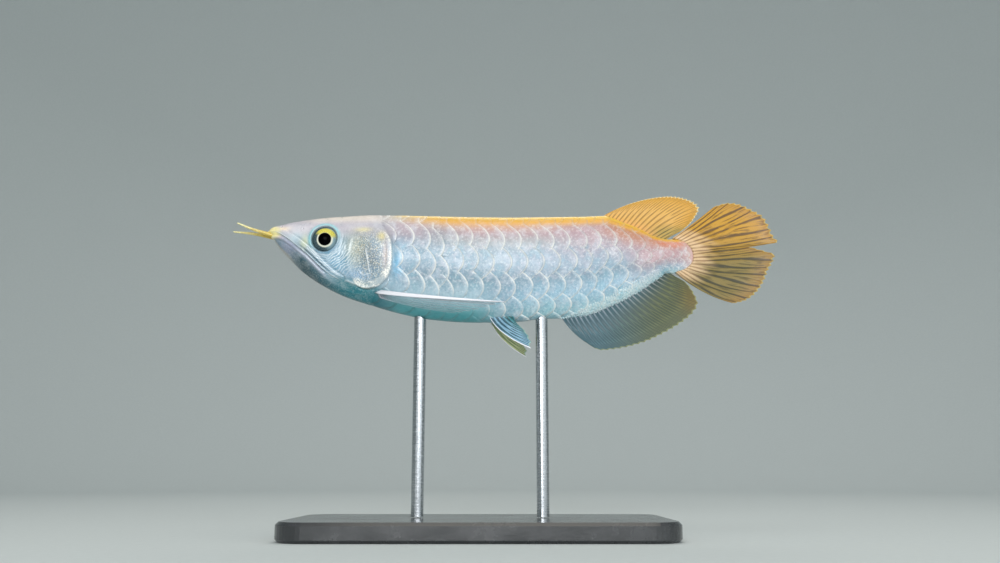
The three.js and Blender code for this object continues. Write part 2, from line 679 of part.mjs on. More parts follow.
// A mesh that shows a solid with a finish.
function meshOf(name, solid, finish) {
  const { vertProperties, numProp, numVert, triVerts } = solid.getMesh();
  const positions = new Float32Array(numVert * 3);
  for (let i = 0; i < numVert; i++) {
    positions.set(vertProperties.subarray(i * numProp, i * numProp + 3), 3 * i);
  }
  const geometry = new THREE.BufferGeometry();
  geometry.setAttribute("position", new THREE.BufferAttribute(positions, 3));
  geometry.setIndex(new THREE.BufferAttribute(triVerts, 1));
  geometry.computeVertexNormals();
  const mesh = new THREE.Mesh(geometry, new THREE.MeshStandardMaterial(finish));
  mesh.name = name;
  return mesh;
}

// The body grown by the gap, which cuts the roots of what grows from it. The lips need a little more.
const grownHead = smoothBody(GAP + GILL_COVER.lift, [-0.3, ...HEAD_STATIONS.slice(1, -2)], HEAD_SIDES);
const grownBody = scaledBody(GAP).add(grownHead);
const rooted = (solid) => largest(solid.subtract(grownBody));

// The fish
const fish = new THREE.Group();
fish.position.set(SNOUT_X, 0, AXIS_HEIGHT);
const { head, jaw, covers } = headAndJaw();
fish.add(meshOf("head", head, HEAD_SKIN), meshOf("lower_jaw", jaw, HEAD_SKIN));

const scaled = scaledBody(0);
const inFrontOfTrunk = throughCut(inFrontOf(shifted(headEdge, GAP)));
const behind = (along) => throughCut([[along, 20], [along, -20], [110, -20], [110, 20]]);
const trunk = largest(scaled.subtract(inFrontOfTrunk).subtract(behind(TAIL_CUT - GAP_UNITS)));
const tailStalk = largest(scaled.intersect(behind(TAIL_CUT)));
fish.add(meshOf("trunk", trunk, SCALE_SILVER), meshOf("tail_stalk", tailStalk, SCALE_SILVER));

fish.add(
  meshOf("dorsal_fin", rooted(middleFin(DORSAL_FIN)), FIN_GOLD),
  meshOf("anal_fin", rooted(middleFin(ANAL_FIN)), FIN_OLIVE),
  meshOf("tail_fin", tailFin(TAIL_FIN), FIN_GOLD),
);
for (const [name, side] of Object.entries(SIDES)) {
  fish.add(
    meshOf(`gill_cover_${name}`, gillCover(covers, side), GILL_SILVER),
    meshOf(`eye_${name}`, eyeSolid(side, 0), EYE_GLOSS),
    meshOf(`barbel_${name}`, rooted(barbel(name)), BARBEL_GOLD),
    meshOf(`pectoral_fin_${name}`, rooted(pairedFin(PECTORAL_FIN, name)), FIN_PALE),
    meshOf(`pelvic_fin_${name}`, rooted(pairedFin(PELVIC_FIN, name)), FIN_PALE),
  );
}

// The stand
const stand = new THREE.Group();
stand.add(meshOf("stand_base", standBase(), BASE_LACQUER));
["stand_rod_front", "stand_rod_rear"].forEach((name, i) => {
  stand.add(meshOf(name, standRod(ROD.places[i], grownBody), ROD_STEEL));
});

const arowana = new THREE.Group();
arowana.add(fish, stand);

export default arowana;
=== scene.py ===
# A young Asian arowana, life-size and still, on a plain display stand: its skin, scales, fins and
# finishes. Lengths are metres. +Z is up, the fish faces -X and its left side faces -Y.
import math
import bpy
import numpy as np
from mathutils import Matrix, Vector


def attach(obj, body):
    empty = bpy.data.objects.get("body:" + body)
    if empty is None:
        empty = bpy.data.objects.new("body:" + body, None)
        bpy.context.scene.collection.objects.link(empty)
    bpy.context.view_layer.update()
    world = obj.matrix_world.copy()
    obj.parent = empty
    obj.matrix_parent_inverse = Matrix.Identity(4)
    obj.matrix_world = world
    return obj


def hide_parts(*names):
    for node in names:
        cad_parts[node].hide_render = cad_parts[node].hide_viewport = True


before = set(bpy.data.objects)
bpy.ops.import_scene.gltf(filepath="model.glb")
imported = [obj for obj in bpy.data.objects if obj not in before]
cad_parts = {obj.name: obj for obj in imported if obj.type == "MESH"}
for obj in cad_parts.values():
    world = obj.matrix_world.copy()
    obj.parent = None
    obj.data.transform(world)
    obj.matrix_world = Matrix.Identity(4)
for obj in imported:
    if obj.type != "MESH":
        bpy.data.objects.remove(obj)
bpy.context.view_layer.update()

# Driving sizes. Places on the fish are in hundredths of its standard length, as [distance from the snout,
# height over the long axis] in the side view, and thicknesses are in millimetres.
MM = 0.001
STANDARD_LENGTH = 0.1413
UNIT = STANDARD_LENGTH / 100
UNIT_MM = UNIT / MM
SNOUT_X = -0.071
AXIS_HEIGHT = 0.088

# Stations of the body: distance from the snout, height of the back, height of the belly, half width
BODY = [
    [0.0, 8.2, 7.5, 0.4], [0.4, 8.8, 6.9, 1.1], [1.4, 9.2, 5.6, 1.9], [2.8, 9.5, 3.7, 2.5],
    [5.2, 10.1, 1.2, 3.2], [8.7, 10.7, -2.1, 3.9], [13.4, 11.3, -5.2, 4.5], [18.2, 11.6, -7.6, 5.1],
    [24.1, 11.9, -9.6, 5.6], [30.0, 11.9, -11.4, 5.9], [38.2, 11.7, -13.1, 6.2], [47.6, 11.5, -13.8, 6.1],
    [57.1, 11.4, -13.7, 5.8], [64.2, 11.5, -13.0, 5.4], [70.0, 11.6, -12.7, 5.0], [74.8, 11.7, -12.1, 4.5],
    [79.5, 11.9, -10.4, 4.0], [83.0, 10.7, -8.8, 3.6], [87.7, 8.8, -6.2, 3.0], [91.3, 6.9, -3.7, 2.5],
    [94.3, 6.2, -2.1, 2.1], [97.2, 6.3, -2.1, 1.5], [100.0, 6.6, -2.2, 0.75], [101.8, 6.4, -2.0, 0.2],
]

# The body is widest this share of its height below the back, and its halves over and under that level are
# superellipses of these powers.
WIDEST = 0.42
BACK_ROUNDNESS = 2.3
BELLY_ROUNDNESS = 1.8
BODY_END = BODY[-1][0]

# The skin under the scales lies this far inside the solids, and the scales' free edges stand on it.
COAT_DEPTH = 0.12
SCALE_STEP = 0.26

# Shape of a scale: how far its free edge bows, and how far in front of the edge it begins, in pitches of
# the rings; half its width, in breadths of its row; the power that crowds its rows of points together
# towards its root, the power of its rise, and the row of points under which its underside dips
LARGE_SCALE = {"bow": 1.75, "length": 1.85}
SMALL_SCALE = {"bow": 0.7, "length": 1.6}
HALF_SCALE = 0.92
SCALE_CROWDING = 0.62
SCALE_RISE = 1.3
DIP_ROW = 2

# Rings of the scales' free edges along the body, by number, and the rows: number, middle and breadth in
# shares of the girth, how far back its edges lie, in rings, and how far below its middle they reach
# furthest back, in breadths. The last row runs along the belly.
RINGS = [[-3, 17.6], [0, 28.6], [0.5, 30.7], [1.5, 35.1], [2.5, 38.7], [3.5, 42.0], [4.5, 45.1], [5.5, 48.6],
         [16.3, 88.4], [18, 93.5], [19.5, 96.9], [22, 101.4], [24, 104.6]]
ROWS = [[0, 0.045, 0.09, 0.1, 0], [1, 0.1425, 0.105, 0.5, 0.2], [2, 0.243, 0.098, 0.87, 0.06],
        [3, 0.3385, 0.096, 1.18, 0.08], [4, 0.4265, 0.086, 1.56, 0.05], [5, 0.5, 0.078, 1.95, 0]]

# The head, in the side view. The free edge of the gill cover is part of two outlines.
COVER_EDGE = [[28.6, 6.2], [29.6, 4.4], [29.9, 1.4], [29.7, -1.8], [28.8, -4], [27.2, -5.5], [25.3, -6.3]]
HEAD_EDGE = [[26.2, 16], [26.4, 9], [27.2, 7.4], *COVER_EDGE, [24.2, -9], [23.9, -14]]
GILL_COVER = [[21, 7.1], [24, 7.7], [26.8, 7.5], *COVER_EDGE,
              [22.4, -6.1], [20.4, -4.2], [19.7, -0.5], [19.9, 3.6]]
MOUTH = [[-3, 7.1], [0.9, 7.1], [3.4, 6.5], [5.6, 5.1], [7.9, 3.3], [10.2, 1.4], [12.0, -0.4], [13.8, -2.2],
         [15.6, -3.6], [18, -5.0], [21, -6.2]]
UPPER_JAW = [[0.2, 8.0], [2.2, 7.9], [5.2, 6.4], [8.1, 4.3], [10.8, 2.0], [13.4, -0.5], [15.9, -2.6],
             [18.0, -3.9]]
LOWER_LIP = [[0.5, 6.5], [2.4, 6.2], [5, 4.8], [7.4, 2.9], [9.7, 0.8], [12, -1.5], [14, -3.6]]

# The eye: its centre in the side view, its sizes and the middle of the pupil in millimetres, and its turn
# in radians
EYE = {"centre": (13.85, 5.3), "radius": 4.25, "bulge": 2.5, "lens": 0.22, "sink": 1.6, "turn": 0.04,
       "pupil": (0.34, -0.34)}
NOSTRILS = [(3.3, 8.7), (8.6, 7.8)]
PORES = [[10.6, 7.9], [9.9, 4.8], [11.2, 2.0], [14.2, 0.6], [17.2, 1.0], [18.9, 3.6], [19.0, 7.0]]

# Folds under the eye: distance from its centre and height, in millimetres
FOLDS = [(5.45, 0.15), (6.1, 0.13), (6.85, 0.11), (7.7, 0.09), (8.6, 0.07)]

# Ridges and grooves of the cheek: a line, its height, which is negative for a groove, its width, both in
# millimetres, and how strong a painted highlight it gets
CHEEK_LINES = [
    ([[23.6, 3.0], [24.0, 1.0], [24.4, -1.2], [24.8, -3.4]], 0.22, 0.17, 0.9),
    ([[22.2, -2.2], [22.6, -3.0], [23.5, -3.3], [24.6, -3.0]], 0.16, 0.17, 0.7),
    ([[20.4, 6.2], [19.6, 2.6], [19.4, -0.6], [20.2, -3.2], [21.4, -4.8]], 0.12, 0.5, 0.0),
    ([[18.4, -4.1], [20.4, -4.9], [22.6, -5.7], [24.6, -5.9], [26.0, -5.4]], 0.18, 0.3, 0.6),
    ([[17.2, 8.3], [20.4, 8.6], [24.2, 8.9], [27.6, 8.7]], 0.1, 0.4, 0.0),
    ([[18.6, 6.8], [17.9, 3.2], [17.6, 0.4], [18.0, -2.4]], -0.1, 0.25, 0.0),
    ([[14.4, -0.4], [16.6, 0.6], [18.6, 0.9]], -0.08, 0.22, 0.0),
    ([[3.4, 9.2], [7.4, 9.7], [12.4, 10.2], [17.4, 10.5], [23.4, 10.7]], -0.08, 0.3, 0.0),
]

# The head's fine rings of skin end at the first of these, and its colours fade out at the second.
FINE_END = 31
HEAD_END = 32

# Mesh of the skin: points round each ring, rings on the head and on the body, and the power that crowds
# the head's rings together towards the snout
SKIN = {"columns": 304, "head_rings": 212, "body_rings": 60, "crowding": 1.06}

SIDES = {"left": -1, "right": 1}


# Shapes worked out as whole arrays

def smoothstep(low, high, x):
    """0 at low and before, 1 at high and past, with an even S-shaped rise. low may be the larger."""
    share = np.clip((x - low) / (high - low), 0, 1)
    return share * share * (3 - 2 * share)


def bell(x, width):
    """1 where x is zero, falling off evenly to both sides: e to minus the square of x over width."""
    return np.exp(-((x / width) ** 2))


def through(rows, column, x):
    """Smooth curve through a column of a table with no overshoot: cubics between the rows, whose slopes
    at a row are the harmonic mean of the slopes beside it, or zero where those change sign."""
    table = np.asarray(rows, float)
    knots, values = table[:, 0], table[:, column]
    slope = np.diff(values) / np.diff(knots)
    before, after = np.r_[slope[0], slope], np.r_[slope, slope[-1]]
    rising = before * after > 0
    tangent = np.where(rising, 2 * before * after / np.where(rising, before + after, 1), 0)
    at = np.clip(x, knots[0], knots[-1])
    i = np.clip(np.searchsorted(knots, at, side="right") - 1, 0, len(knots) - 2)
    span = knots[i + 1] - knots[i]
    t = (at - knots[i]) / span
    rise = t * t * (3 - 2 * t)
    turn = span * t * (1 - t) * (tangent[i] * (1 - t) - tangent[i + 1] * t)
    return values[i] * (1 - rise) + values[i + 1] * rise + turn


def curve_at(knots, shares, closed=False):
    """Points at shares of the length of a centripetal Catmull-Rom curve through some knots. Each stretch
    is a cubic whose end slopes come from its neighbours, weighted by the roots of their distances."""
    fineness = 40
    knots = np.asarray(knots, float)
    if closed:
        ring = np.vstack([knots[-1], knots, knots[0], knots[1]])
    else:
        ring = np.vstack([2 * knots[0] - knots[1], knots, 2 * knots[-1] - knots[-2]])
    gap = np.sqrt(np.linalg.norm(np.diff(ring, axis=0), axis=1))[:, None]
    p0, p1, p2, p3 = ring[:-3], ring[1:-2], ring[2:-1], ring[3:]
    d0, d1, d2 = gap[:-2], gap[1:-1], gap[2:]
    leave = ((p1 - p0) / d0 - (p2 - p0) / (d0 + d1) + (p2 - p1) / d1) * d1
    arrive = ((p2 - p1) / d1 - (p3 - p1) / (d1 + d2) + (p3 - p2) / d2) * d1
    t = np.linspace(0, 1, fineness, endpoint=False)[:, None, None]
    fine = (2 * t**3 - 3 * t**2 + 1) * p1 + (t**3 - 2 * t**2 + t) * leave
    fine = fine + (3 * t**2 - 2 * t**3) * p2 + (t**3 - t**2) * arrive
    points = np.vstack([fine.transpose(1, 0, 2).reshape(-1, knots.shape[1]), p2[-1]])
    length = np.r_[0, np.cumsum(np.linalg.norm(np.diff(points, axis=0), axis=1))]
    wanted = np.asarray(shares, float) * length[-1]
    return np.stack([np.interp(wanted, length, points[:, axis]) for axis in range(points.shape[1])], -1)


def from_line(line, along, up, closed=False, steps=48):
    """For places in the side view: the distance to a smooth line in millimetres, positive on the left of
    its direction, and the share of its length at the nearest point."""
    path = curve_at(line, np.linspace(0, 1, steps + 1), closed)
    start, reach = path[:-1], np.diff(path, axis=0)
    x = along.ravel()[:, None] - start[:, 0]
    y = up.ravel()[:, None] - start[:, 1]
    t = np.clip((x * reach[:, 0] + y * reach[:, 1]) / (reach**2).sum(1), 0, 1)
    square = (x - t * reach[:, 0]) ** 2 + (y - t * reach[:, 1]) ** 2
    nearest = square.argmin(1)[:, None]
    sign = np.sign(reach[:, 0] * y - reach[:, 1] * x)
    pick = np.take_along_axis
    distance = np.sqrt(pick(square, nearest, 1)) * pick(sign, nearest, 1) * UNIT_MM
    share = (nearest + pick(t, nearest, 1)) / steps
    return distance.reshape(along.shape), share.reshape(along.shape)


def place(along, side, up):
    """Place in space from hundredths of the standard length: behind the snout, to the right and up."""
    parts = np.broadcast_arrays(SNOUT_X + along * UNIT, side * UNIT, AXIS_HEIGHT + up * UNIT)
    return np.stack(parts, -1)


def section(along):
    """Height of the back and the belly, half width, and level of the greatest width."""
    back, belly, width = (through(BODY, column, along) for column in (1, 2, 3))
    return back, belly, width, back - WIDEST * (back - belly)


def on_section(along, turn):
    """Side and height of the body's outline. Over and under its widest level it is half a superellipse,
    and turn goes from 0 at the back to pi at the belly."""
    back, belly, width, level = section(along)
    upper = turn < math.pi / 2
    power = 2 / np.where(upper, BACK_ROUNDNESS, BELLY_ROUNDNESS)
    reach = np.where(upper, back, belly) - level
    return width * np.sin(turn).clip(0) ** power, level + reach * np.abs(np.cos(turn)) ** power


def turns_of_girth(stations=501, angles=721, places=241):
    """Table of the turn at even shares of each half outline, from the summed lengths of its chords."""
    distances, half_turn = np.linspace(0, BODY_END, stations), np.linspace(0, math.pi, angles)
    along, turn = np.meshgrid(distances, half_turn, indexing="ij")
    side, up = on_section(along, turn)
    chords = np.hypot(np.diff(side, axis=1), np.diff(up, axis=1))
    length = np.cumsum(np.pad(chords, ((0, 0), (1, 0))), axis=1)
    shares = np.linspace(0, 1, places)
    return np.array([np.interp(shares, row / row[-1], turn[0]) for row in length])


TURNS = turns_of_girth()


def skin_place(along, girth):
    """Distance, side and height on the body. girth goes round it from 0 at the back, down the left side,
    to 1, by length of outline, found by interpolating the table of turns both ways."""
    round_it = np.mod(girth, 1)
    half = np.minimum(round_it, 1 - round_it) * 2
    x = np.clip(along, 0, BODY_END) / BODY_END * (TURNS.shape[0] - 1)
    y = half * (TURNS.shape[1] - 1)
    i = np.minimum(x.astype(int), TURNS.shape[0] - 2)
    j = np.minimum(y.astype(int), TURNS.shape[1] - 2)
    fx, fy = x - i, y - j
    front = TURNS[i, j] * (1 - fy) + TURNS[i, j + 1] * fy
    rear = TURNS[i + 1, j] * (1 - fy) + TURNS[i + 1, j + 1] * fy
    side, up = on_section(along, front * (1 - fx) + rear * fx)
    return along, np.where(round_it < 0.5, -side, side), up


def skin_point(along, girth):
    return place(*skin_place(along, girth))


def skin_normal(along, girth):
    """Outward direction: the cross product of the steps round the body and along it."""
    ahead = np.minimum(0.2, np.maximum(along, 0.02) / 2)
    lengthwise = skin_point(along + ahead, girth) - skin_point(along - ahead, girth)
    around = skin_point(along, girth + 0.006) - skin_point(along, girth - 0.006)
    normal = np.cross(around, lengthwise)
    return normal / np.linalg.norm(normal, axis=-1, keepdims=True)


def side_at(along, up):
    """Half width of the body at a height."""
    back, belly, width, level = section(along)
    power = np.where(up > level, BACK_ROUNDNESS, BELLY_ROUNDNESS)
    share = np.clip((up - level) / np.where(up > level, back - level, belly - level), 0, 1)
    return width * (1 - share**power) ** (1 / power)


def height_share(along, up):
    """Height on the body, from 0 at the belly to 1 at the back."""
    back, belly, _, _ = section(along)
    return (up - belly) / (back - belly)


def from_spot(spot, along, up):
    """Distance in millimetres from a spot in the side view."""
    return np.hypot(along - spot[0], up - spot[1]) * UNIT_MM


def patch(along, up, centre, reach):
    """A soft round patch in the side view: the product of a bell along the fish and one up it."""
    return bell(along - centre[0], reach[0]) * bell(up - centre[1], reach[1])


def line_ridge(line, along, up, width, fade):
    """A ridge of height 1 on a line in the side view, a bell of the distance from it, that fades out
    towards both ends of the line."""
    distance, share = from_line(line, along, up)
    return bell(distance, width) * smoothstep(0, fade, share) * smoothstep(1, 1 - fade, share)


# Meshes from arrays

def grid_quads(rows, columns, wrap=False):
    """Corners of the faces of a grid as pairs of row and column. A grid that wraps round has faces
    between its last column and its first, which is then counted as the column after the last."""
    row, column = np.meshgrid(np.arange(rows - 1), np.arange(columns - (0 if wrap else 1)), indexing="ij")
    row, column = row.ravel()[:, None], column.ravel()[:, None]
    return np.stack([row + [0, 0, 1, 1], column + [0, 1, 1, 0]], -1)


def ring_faces(rows, columns):
    """Faces between rings of points, each of which closes on its own start."""
    quads = grid_quads(rows, columns, wrap=True)
    return quads[..., 0] * columns + quads[..., 1] % columns


def closed_rings(rows, columns):
    """Faces between rings, and a fan over each end. The middles of the two fans are points of their own,
    which come after those of the rings."""
    around = np.arange(columns)
    after = (around + 1) % columns
    last = (rows - 1) * columns
    front = np.c_[np.full(columns, rows * columns), after, around]
    rear = np.c_[np.full(columns, rows * columns + 1), last + around, last + after]
    return [ring_faces(rows, columns), front, rear]


def turned_over(faces):
    return [part[:, ::-1] for part in faces]


def mesh_piece(name, points, faces):
    """Smooth object at the origin from points and from arrays of vertex numbers with one row a face."""
    mesh = bpy.data.meshes.new(name)
    faces = [np.asarray(part, np.int32) for part in faces]
    counts = np.concatenate([np.full(len(part), part.shape[1]) for part in faces])
    corners = np.concatenate([part.ravel() for part in faces])
    mesh.vertices.add(len(points))
    mesh.vertices.foreach_set("co", np.asarray(points, np.float32).ravel())
    mesh.loops.add(len(corners))
    mesh.loops.foreach_set("vertex_index", corners)
    mesh.polygons.add(len(counts))
    mesh.polygons.foreach_set("loop_start", np.r_[0, np.cumsum(counts)[:-1]].astype(np.int32))
    mesh.polygons.foreach_set("use_smooth", np.ones(len(counts), bool))
    mesh.update(calc_edges=True)
    mesh.validate()
    piece = bpy.data.objects.new(name, mesh)
    bpy.context.scene.collection.objects.link(piece)
    return piece


def set_flat(piece, first, last):
    """Makes a run of faces flat, so that the edge round them stays crisp."""
    flags = np.ones(len(piece.data.polygons), bool)
    flags[first:last] = False
    piece.data.polygons.foreach_set("use_smooth", flags)


def give_number(piece, name, values):
    attribute = piece.data.attributes.new(name, "FLOAT", "POINT")
    attribute.data.foreach_set("value", np.asarray(values, np.float32).ravel())


def give_colour(piece, name, values):
    values = np.asarray(values, np.float32).reshape(-1, 3)
    attribute = piece.data.attributes.new(name, "FLOAT_COLOR", "POINT")
    attribute.data.foreach_set("color", np.c_[values, np.ones(len(values))].astype(np.float32).ravel())


def give_map(piece, name, places):
    """UV map from one pair of numbers for each corner."""
    layer = piece.data.uv_layers.new(name=name)
    layer.data.foreach_set("uv", np.asarray(places, np.float32).ravel())


def finish_piece(piece, slot, material, *nodes):
    piece.data.materials.append(material)
    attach(piece, "root")
    if nodes:
        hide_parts(*nodes)
    return piece


# Colours

def linear(colour):
    """Linear red, green and blue of an sRGB colour such as #a0b0c0: each part over 0.04045 is raised to
    2.4."""
    parts = np.array([int(colour[i:i + 2], 16) for i in (1, 3, 5)]) / 255
    return np.where(parts > 0.04045, ((parts + 0.055) / 1.055) ** 2.4, parts / 12.92)


def blended(base, *layers):
    """Colours laid over a base one after another, each by its share for each place."""
    tone = linear(base) if isinstance(base, str) else base
    for colour, share in layers:
        share = np.clip(share, 0, 1)[..., None]
        tone = tone * (1 - share) + linear(colour) * share
    return tone


def body_tone(along, up):
    """Colours of the flanks, the back and the belly."""
    height = height_share(along, up)
    return blended(
        "#78909d",
        ("#9aa3b2", 0.5 * smoothstep(46, 66, along) * bell(height - 0.5, 0.2)),
        ("#b8d4de", 0.8 * smoothstep(0.4, 0.24, height) * smoothstep(56, 48, along)),
        ("#b9b4b2", 0.8 * bell(height - 0.72, 0.08) * smoothstep(34, 48, along)),
        ("#a8cfe3", 0.8 * smoothstep(0.42, 0.22, height) * smoothstep(44, 62, along)),
        ("#9bcad3", smoothstep(0.22, 0.04, height) * smoothstep(48, 66, along)),
        ("#a5c6dc", 0.7 * smoothstep(37, 30, along) * bell(height - 0.5, 0.25)),
        ("#56a4aa", smoothstep(0.21, 0.05, height) * smoothstep(62, 46, along)),
        ("#b9a4ab", 0.85 * smoothstep(0.6, 0.8, height) * smoothstep(44, 34, along)),
        ("#c09c9e", 0.9 * smoothstep(0.7, 0.82, height) * smoothstep(34, 50, along)),
        ("#d6a474", 0.6 * smoothstep(0.79, 0.88, height) * smoothstep(30, 46, along)),
        ("#b4979e", 0.85 * smoothstep(60, 78, along) * smoothstep(0.42, 0.7, height)),
        ("#b89496", 0.95 * smoothstep(82, 91, along) * smoothstep(0.0, 0.45, height)),
        ("#bb7f5a", 0.9 * smoothstep(74, 84, along) * smoothstep(0.6, 0.84, height)),
        ("#dc8466", 0.9 * patch(along, up, (95.5, 5.2), (4, 1.4))),
        ("#dd9444", smoothstep(0.83, 0.96, height) * smoothstep(74, 88, along)),
        ("#dfa636", smoothstep(0.855, 0.93, height) * smoothstep(25, 42, along)),
        ("#d2c19d", smoothstep(0.86, 0.97, height) * smoothstep(42, 26, along)),
        ("#f0c740", 0.95 * smoothstep(0.94, 0.98, height) * smoothstep(22, 36, along)),
        ("#caa39a", 0.8 * smoothstep(96.6, 99.6, along)),
    )


# Soft patches of colour on the head: colour, strength, centre and reach
HEAD_PATCHES = [
    ("#d3ccd2", 1.0, (6.5, 7.6), (4.5, 2)),
    ("#f2dcc0", 0.85, (3.9, 8.1), (1.5, 0.6)),
    ("#7598ac", 0.85, (12.4, 1.2), (3.6, 2.4)),
    ("#d9dcb2", 0.8, (9.2, 4.6), (0.9, 1.6)),
    ("#c6dde6", 0.6, (7.0, 5.8), (1.6, 1.4)),
    ("#6ba5c8", 0.9, (17, 0.2), (3.8, 3.4)),
    ("#93b9dc", 0.9, (22.6, -3.2), (3.2, 2.4)),
    ("#a8a893", 0.9, (21.4, 2.6), (2.8, 3.6)),
    ("#4f6577", 0.95, (25.3, 0.8), (2.6, 4.0)),
    ("#c7aca6", 0.7, (28.4, 1.2), (0.9, 4.0)),
    ("#d8cb8c", 0.8, (23.0, 7.3), (1.8, 0.6)),
    ("#e0cc7e", 0.85, (27.3, 5.6), (0.9, 1.0)),
    ("#86ccf2", 0.9, (31.2, -1.5), (1.0, 2.4)),
]


def head_tone(along, up, tone):
    """Colours of the head laid over those of the body: the crown and the snout, soft patches, the ring over
    the eye, the lower jaw, the throat, a pale painted rim light along the bottom of the lower jaw, and the
    bright tip of the snout. The dark teal under the jaw and on the throat is painted shade of the underside."""
    height = height_share(along, up)
    mouth, _ = from_line(MOUTH, along, up)
    head = smoothstep(HEAD_END, 23, along)
    over_eye = smoothstep(2.8, 6.2, up + 0.4 * (EYE["centre"][0] - along))
    ring = bell(from_spot(EYE["centre"], along, up) - 4.95, 0.55) * over_eye
    under_jaw = smoothstep(0.02, -0.35, mouth) * smoothstep(14.8, 13.2, along)
    snout_tip = smoothstep(4.0, 1.6, along + 1.2 * smoothstep(8.2, 9.2, up))
    return blended(
        tone,
        ("#90a4af", head),
        ("#b9b1ba", head * smoothstep(0.62, 0.8, height)),
        ("#dfd2c6", head * smoothstep(0.84, 0.95, height) * smoothstep(6, 14, along)),
        *((colour, strength * patch(along, up, centre, reach))
          for colour, strength, centre, reach in HEAD_PATCHES),
        ("#83cad2", 0.85 * ring),
        ("#b7bdcc", under_jaw),
        ("#d8bcc0", 0.7 * under_jaw * patch(along, up, (2.6, 6.4), (1.6, 1.2))),
        ("#6f8593", under_jaw * smoothstep(-0.5, -1.7, mouth)),
        ("#979ab0", 0.85 * under_jaw * patch(along, up, (5.4, 3.9), (2.4, 2.0))),
        # Dark teal under the lower jaw and on the throat: painted shade of the underside, tinted teal
        ("#133f49", under_jaw * smoothstep(-1.3, -2.4, mouth) * smoothstep(4, 9, along)),
        ("#0a4f5c", smoothstep(-0.8, -1.9, mouth) * smoothstep(9, 14, along) * head),
        ("#04707a", smoothstep(0.26, 0.14, height) * head * smoothstep(12, 20, along)),
        # Pale painted rim light along the bottom edge of the lower jaw
        ("#c4b9a6", 0.7 * smoothstep(0.14, 0.03, height) * smoothstep(8, 3.5, along)),
        ("#fff0a6", snout_tip * smoothstep(5.6, 6.8, up)),
    )


def whole_tone(along, up):
    """Colours of the head and the body, which the skin and the scales share."""
    tone = body_tone(along, up)
    return np.where((along < HEAD_END)[..., None], head_tone(along, up, tone), tone)


# The head's relief

def inside_outline(outline, along, up):
    """Distance in millimetres into a closed outline in the side view, negative outside it. A place is
    inside where a level ray from it crosses the outline an odd number of times."""
    steps = 80
    path = curve_at(outline, np.linspace(0, 1, steps + 1), closed=True)
    distance, _ = from_line(outline, along, up, closed=True, steps=steps)
    x, y = along.ravel()[:, None], up.ravel()[:, None]
    x0, y0, x1, y1 = path[:-1, 0], path[:-1, 1], path[1:, 0], path[1:, 1]
    crosses = (y0 > y) != (y1 > y)
    met = x0 + (y - y0) / np.where(crosses, y1 - y0, 1) * (x1 - x0)
    inside = ((crosses & (met > x)).sum(1) % 2 == 1).reshape(along.shape)
    return np.where(inside, np.abs(distance), -np.abs(distance))


def cover_rear(along, up, front, lean, top):
    """1 on the rear of the gill cover, fading out between two distances from the snout, further forward
    low down, and towards its top."""
    return smoothstep(*front, along + lean * np.maximum(-up - 2, 0)) * smoothstep(*top, up)


